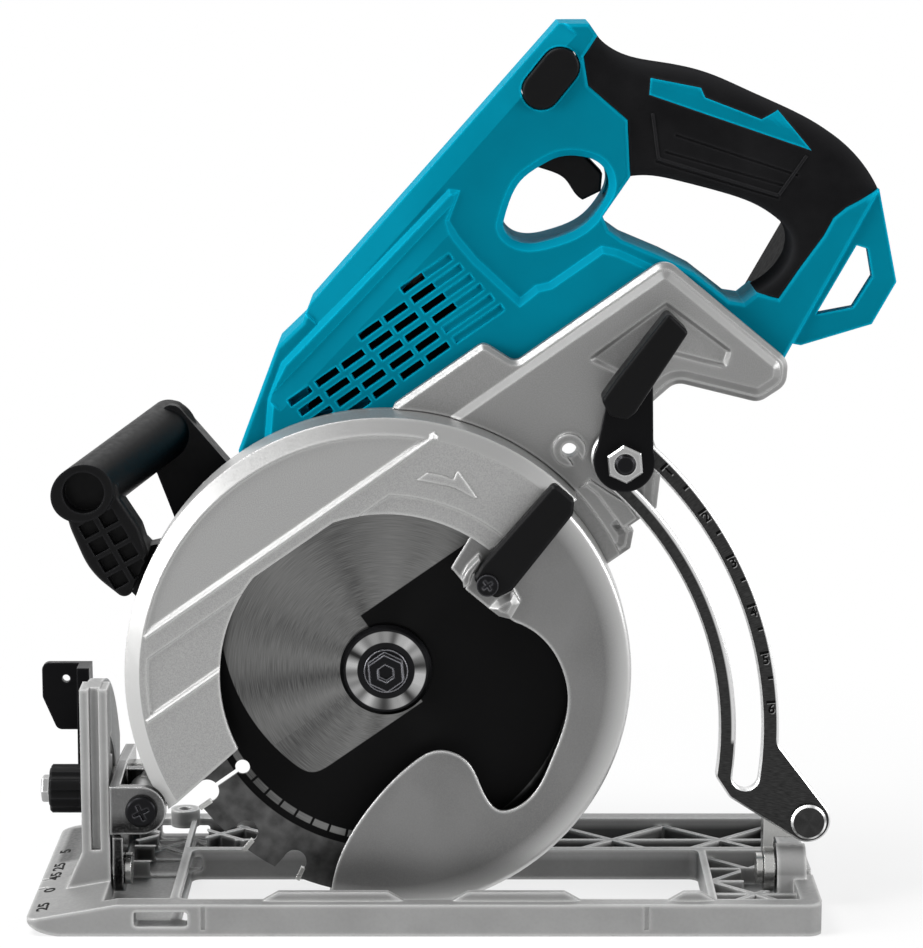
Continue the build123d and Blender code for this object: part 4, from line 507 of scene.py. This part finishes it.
def turned_steel(name, middle, bevel, dark, light, dip=0.5):
    """Blackened steel with a bevel turned bright, and painted reflections on the bevel in sectors that dip
    to a share of the light.
    """
    made = Shader(name, metal=1.0)
    made.brushed_round(0.85)
    place = made.about(middle)
    turned = made.both(made.above(place[2], bevel[0]), made.below(place[2], bevel[1]))
    lines = made.ring_noise(place, across=5.0, around=2.0)
    # Painted reflections on the bright bevel
    bare = made.mottle(made.sectors(place), light, dark=dip, light=1.5, span=(0.38, 0.62))
    made.colour(made.mix(turned, made.mix(lines, shade(dark, 0.7), shade(dark, 1.4)), bare))
    made.rough(made.ramp(turned, 0.0, 1.0, start=0.42, end=0.26))
    made.bump(lines, strength=0.08, depth=0.02 * MM, edge=0.3 * MM)
    return made.material


# Looks of the nodes
TEAL = srgb(0, 120, 144)
BLACK = srgb(9, 9, 10)
BLACKENED = grey(0.012, 0.013)
# Light grey of the guide's painted highlights and of the pin's bright turned bevel
BRIGHT_EDGE = grey(0.62)
teal_dish = head(*TRIGGER_HOLE, 0)
# The edge and wall factors below set painted highlights on edges and painted light on walls
teal_plastic = plastic("teal plastic", TEAL, 0.6, edge_highlight=2.9, shine=0.02, walls=1.35, dish=teal_dish)
teal_round = plastic("teal motor plastic", TEAL, 0.5, edge_highlight=2.0, shine=0.06)
inner_black = plastic("inner black plastic", BLACK, 0.6, edge_highlight=1.0, shine=0.02)
black_plastic = plastic("black plastic", BLACK, 0.4, edge_highlight=5.0, shine=0.1)
grip_rubber = rubber("grip rubber", srgb(26, 26, 27))
silver_paint = sparkle_paint("silver paint", grey(0.34, 0.337))
guard_paint = guard_steel("guard satin", grey(0.16, 0.159))
housing_paint = sparkle_paint("housing paint", grey(0.26, 0.258), rim=2.4, slopes=1.7)
base_metal = cast_metal("base casting", grey(0.3, 0.298))
plated = plated_steel("plated steel", grey(0.42, 0.41), 0.28)
bright = plated_steel("bright plating", grey(0.34), 0.16, rim=2.4)
bracket_steel = plating_with_painted_reflections("bracket plating", grey(0.012), grey(0.12), grey(0.66))
# Painted highlights on the edges: rim times the colour, over the width given by wear; strongest on the blade
# bolt
dark_steel = plated_steel("blackened steel", BLACKENED, 0.34, rim=7.0)
bolt_steel = plated_steel("blade bolt steel", BLACKENED, 0.3, rim=36.0, wear=1.1 * MM)
black_coat = plated_steel("black coated steel", grey(0.008, 0.0085), 0.42, rim=4.0)
guide_steel = brushed_bar("brushed dark steel", grey(0.03), BRIGHT_EDGE)
blade_look = blade_steel("blade steel", grey(0.004, 0.0042))
flange_look = turned_steel("turned flange", SPINDLE, FLANGE_BEVEL, BLACKENED, grey(0.3), dip=0.08)
pin_look = turned_steel("turned pin", GUIDE_HINGE, PIN_BEVEL, grey(0.035), BRIGHT_EDGE)
copper = plated_steel("copper wire", (0.62, 0.25, 0.11, 1), 0.35)
# Painted glint: colour of the lighter copy of the scale marks
glint_steel = plated_steel("painted glint", grey(0.24), 0.3)
scale_ink = plastic("scale ink", srgb(7, 7, 7), 0.5, edge_highlight=1.0, shine=0.05)

LOOKS = {
    "base_plate": base_metal, "bevel_pivot_pins": plated, "stop_knob_stud": bright,
    "bevel_stop_knob": black_plastic, "front_bracket": bracket_steel, "rear_bracket": plated,
    "depth_pivot_bolt": dark_steel, "depth_guide_pin": pin_look, "bevel_lock_bolt": plated,
    "bevel_lever": black_coat, "depth_guide": guide_steel, "gear_housing": housing_paint,
    "upper_guard": silver_paint, "lower_guard": guard_paint, "handle_left": teal_plastic,
    "handle_right": teal_plastic, "rubber_grip": grip_rubber, "front_grip": black_plastic,
    "motor_housing": teal_round, "motor_end_cover": black_plastic, "bearing_plate": base_metal,
    "stator": dark_steel, "stator_windings": copper, "rotor_bearings": plated,
    "spindle_bearings": plated, "motor_controller": inner_black, "switch_unit": inner_black,
    "battery_mount": inner_black, "battery_terminals": black_plastic, "depth_lock_bolt": dark_steel,
    "handle_screws": dark_steel, "guard_screws": plated, "cover_screws": dark_steel,
    "grip_screws": dark_steel, "depth_lever": black_coat, "depth_lock_nut": bright,
    "depth_lever_grip": black_plastic, "guard_lever": black_plastic, "guard_lever_screw": dark_steel,
    "saw_blade": blade_look, "carbide_tips": plated, "inner_flange": dark_steel,
    "outer_flange": flange_look, "blade_bolt": bolt_steel, "spindle": plated, "drive_gear": plated,
    "rotor_shaft": plated, "rotor_core": dark_steel, "cooling_fan": black_plastic, "pinion": plated,
    "trigger": black_plastic, "lock_off_button": black_plastic,
}


def wear(mesh, look):
    """Gives a mesh one material."""
    mesh.materials.clear()
    mesh.materials.append(look)


def add(name, data):
    """Puts a new object of a mesh, curve, lamp or camera into the scene."""
    made = bpy.data.objects.new(name, data)
    bpy.context.scene.collection.objects.link(made)
    return made


def put(name, mesh, look, body):
    """Makes a piece of a mesh with a look and lets it ride on a body."""
    piece = add(name, mesh)
    wear(mesh, look)
    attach(piece, body)


# Marks and trim
def finished(name, made):
    """Mesh of an edited shape, with its faces turned outwards."""
    bmesh.ops.recalc_face_normals(made, faces=made.faces)
    mesh = bpy.data.meshes.new(name)
    made.to_mesh(mesh)
    made.free()
    return mesh


def joined(name, meshes):
    """One mesh of several, each with the matrix that places it."""
    made = bmesh.new()
    for mesh, place in meshes:
        mesh.transform(place)
        made.from_mesh(mesh)
        bpy.data.meshes.remove(mesh)
    whole = bpy.data.meshes.new(name)
    made.to_mesh(whole)
    made.free()
    return whole


def digits(text, size, thick, bold=0.025):
    """Mesh of a plain number, centred on its origin and bolder by a share of its size."""
    curve = bpy.data.curves.new("digits", "FONT")
    curve.body = text
    curve.size = size
    curve.extrude = thick
    curve.offset = size * bold
    curve.align_x = "CENTER"
    curve.align_y = "CENTER"
    maker = add("digits", curve)
    bpy.context.view_layer.update()
    mesh = bpy.data.meshes.new_from_object(maker.evaluated_get(bpy.context.evaluated_depsgraph_get()))
    bpy.data.objects.remove(maker)
    return mesh


def face_frame(place, right, up):
    """Matrix that puts a flat sign at a place, read along right and up."""
    right, up = Vector(right).normalized(), Vector(up).normalized()
    made = Matrix((right, up, right.cross(up))).transposed().to_4x4()
    made.translation = place
    return made


def stroke(start, end, width, thick):
    """Mesh of a straight line raised to the near side, with sloping sides."""
    side = (end - start).normalized().cross(NEAR_SIDE) * width / 2
    made = bmesh.new()
    rows = []
    for level, share in ((-thick, 1.0), (thick * 0.5, 1.0), (thick, 0.7)):
        lift, reach = NEAR_SIDE * level, side * share
        corners = (start + reach, end + reach, end - reach, start - reach)
        rows.append([made.verts.new(corner + lift) for corner in corners])
    made.faces.new(rows[0])
    made.faces.new(rows[-1][::-1])
    for low, high in zip(rows, rows[1:]):
        for i in range(4):
            j = (i + 1) % 4
            made.faces.new((low[i], high[i], high[j], low[j]))
    return finished("stroke", made)


def raised_plate(name, corners, middle, level, rise, slope):
    """Mesh of a flat shape on the head that stands out by rise, with sides that lean in by slope."""
    made = bmesh.new()
    rows = []
    for share, y in ((0.0, level + rise), (slope, level - rise)):
        row = []
        for u, v in corners:
            lean = Vector((middle[0] - u, middle[1] - v)).normalized() * share
            row.append(made.verts.new(head(u + lean.x, v + lean.y, y)))
        rows.append(row)
    made.faces.new(rows[1])
    for i, point in enumerate(rows[0]):
        after = (i + 1) % len(corners)
        made.faces.new((point, rows[0][after], rows[1][after], rows[1][i]))
    return finished(name, made)


def guide_marks(face, shift):
    """Meshes of the ticks and numbers of the depth scale, on a face and shifted sideways along it."""
    middle = GUIDE_MIDDLE / MM + Vector((0, face, 0)) + Vector(shift)
    parts = []
    for step, angle in enumerate(TICK_ANGLES):
        out = Vector((math.cos(math.radians(angle)), 0, math.sin(math.radians(angle))))
        along = Vector((-out.z, 0, out.x))
        whole = step % 2 == 0
        inner = (middle + out * (TICK_INNER if whole else HALF_TICK_INNER)) * MM
        outer = (middle + out * TICK_OUTER) * MM
        parts.append((stroke(inner, outer, TICK_WIDTH * MM, MARK_THICK * MM), Matrix.Identity(4)))
        if whole:
            spot = middle + out * GUIDE_NUMBER_RADIUS - along * GUIDE_NUMBER_DROP
            sign = digits(str(step // 2 + 1), GUIDE_NUMBER_SIZE * MM, MARK_THICK * MM)
            parts.append((sign, face_frame(spot * MM, out, along)))
    return parts


def guide_scale():
    """Stamped ticks and numbers on the outer bar of the depth guide, with a painted glint on one side of
    each: a lighter copy set a little aside.
    """
    marks = joined("guide_scale", guide_marks(GUIDE_FACE, (0, 0, 0)))
    put("guide_scale", marks, scale_ink, "depth_guide")
    glints = joined("guide_glints", guide_marks(GLINT_FACE, GLINT_SHIFT))
    put("guide_glints", glints, glint_steel, "depth_guide")


def nose_scale():
    """Plain numbers on the sloping nose of the base."""
    height = NOSE_CREST.z - NOSE_SLOPE * (NOSE_CREST.x - NOSE_NUMBER_X) + NOSE_NUMBER_LIFT
    uphill = Vector((1, 0, NOSE_SLOPE))
    parts = []
    for text, y in NOSE_NUMBERS:
        sign = digits(text, NOSE_NUMBER_SIZE * MM, MARK_THICK * MM)
        sign.transform(Matrix.Diagonal((NOSE_NUMBER_STRETCH, 1, 1, 1)))
        spot = Vector((NOSE_NUMBER_X, y, height)) * MM
        parts.append((sign, face_frame(spot, (0, 1, 0), -uphill)))
    put("nose_scale", joined("nose_scale", parts), scale_ink, "base")


def turning_arrow():
    """Raised half arrow on the upper guard, the way the blade turns."""
    mesh = raised_plate("turning_arrow", ARROW, ARROW_MIDDLE, ARROW_FACE, ARROW_RISE, ARROW_SLOPE)
    put("turning_arrow", mesh, silver_paint, "head")


def grip_panel():
    """Raised line round the palm panel of the rubber grip."""
    corners = [head(u, v, PALM_FACE) for u, v in PALM_PANEL]
    parts = []
    for start, end in zip(corners, corners[1:]):
        line = stroke(start, end, PALM_LINE_WIDTH * MM, PALM_LINE_THICK * MM)
        parts.append((line, Matrix.Identity(4)))
    put("grip_panel", joined("grip_panel", parts), grip_rubber, "head")


# Studio
def backdrop_rays(tree):
    """One for the rays that see the background: from the camera, off metal and through glass."""
    path = tree.nodes.new("ShaderNodeLightPath")
    seen = path.outputs["Is Camera Ray"]
    for ray in ("Is Glossy Ray", "Is Transmission Ray"):
        most = tree.nodes.new("ShaderNodeMath")
        most.operation = "MAXIMUM"
        tree.links.new(seen, most.inputs[0])
        tree.links.new(path.outputs[ray], most.inputs[1])
        seen = most.outputs[0]
    return seen


def blend_shaders(tree, factor, first, second, output):
    """Sends a mix of two shader nodes to the output node of a tree."""
    blend = tree.nodes.new("ShaderNodeMixShader")
    tree.links.new(factor, blend.inputs[0])
    tree.links.new(first.outputs[0], blend.inputs[1])
    tree.links.new(second.outputs[0], blend.inputs[2])
    tree.links.new(blend.outputs[0], tree.nodes[output].inputs["Surface"])


def lay_floor():
    """Pale floor that keeps the saw's shadow and turns white away from it."""
    near, far = -FLOOR_REACH, FLOOR_REACH
    mesh = bpy.data.meshes.new("floor")
    corners = [(near, near, 0), (far, near, 0), (far, far, 0), (near, far, 0)]
    mesh.from_pydata(corners, [], [(0, 1, 2, 3)])
    floor = add("floor", mesh)
    pale = Shader("pale floor", rough=0.9, shine=0.1)
    pale.colour(pale.mix(pale.noise(scale=9.0, detail=2.0), grey(0.9), grey(0.94)))
    away = pale.length(pale.axis(pale.place, 0), pale.axis(pale.place, 1))
    white = pale.ramp(away, *FLOOR_FADE, start=FLOOR_GLOW)
    share = pale.math("MULTIPLY", backdrop_rays(pale.tree), white)
    glow = pale.node("ShaderNodeEmission")
    blend_shaders(pale.tree, share, pale.main, glow, "Material Output")
    mesh.materials.append(pale.material)


def light_world():
    """White background that is seen at full strength and lights the saw faintly."""
    world = bpy.data.worlds.new("studio")
    bpy.context.scene.world = world
    world.use_nodes = True
    tree = world.node_tree
    faint = tree.nodes["Background"]
    white = tree.nodes.new("ShaderNodeBackground")
    for background, strength in ((faint, WORLD_LIGHT), (white, 1.0)):
        background.inputs["Color"].default_value = (1, 1, 1, 1)
        background.inputs["Strength"].default_value = strength
    blend_shaders(tree, backdrop_rays(tree), faint, white, "World Output")


def hang_lamps():
    """Four soft lamps that look at the saw."""
    for name, place, width, power in LAMPS:
        light = bpy.data.lights.new(name, "AREA")
        light.size = width
        light.energy = power
        lamp = add(name, light)
        lamp.location = place
        lamp.rotation_euler = (LAMP_TARGET - Vector(place)).to_track_quat("-Z", "Y").to_euler()


def set_camera():
    """Camera at the photograph's viewing angle."""
    lens = bpy.data.cameras.new("camera")
    lens.lens = CAMERA_LENS
    lens.sensor_width = CAMERA_SENSOR
    camera = add("camera", lens)
    camera.location = CAMERA_PLACE
    camera.rotation_euler = (CAMERA_PITCH, 0, 0)
    bpy.context.scene.camera = camera
    bpy.context.scene.view_settings.view_transform = "Standard"


for node_name, node_look in LOOKS.items():
    wear(nodes[node_name].data, node_look)
grip_panel()
guide_scale()
nose_scale()
turning_arrow()
lay_floor()
light_world()
hang_lamps()
set_camera()
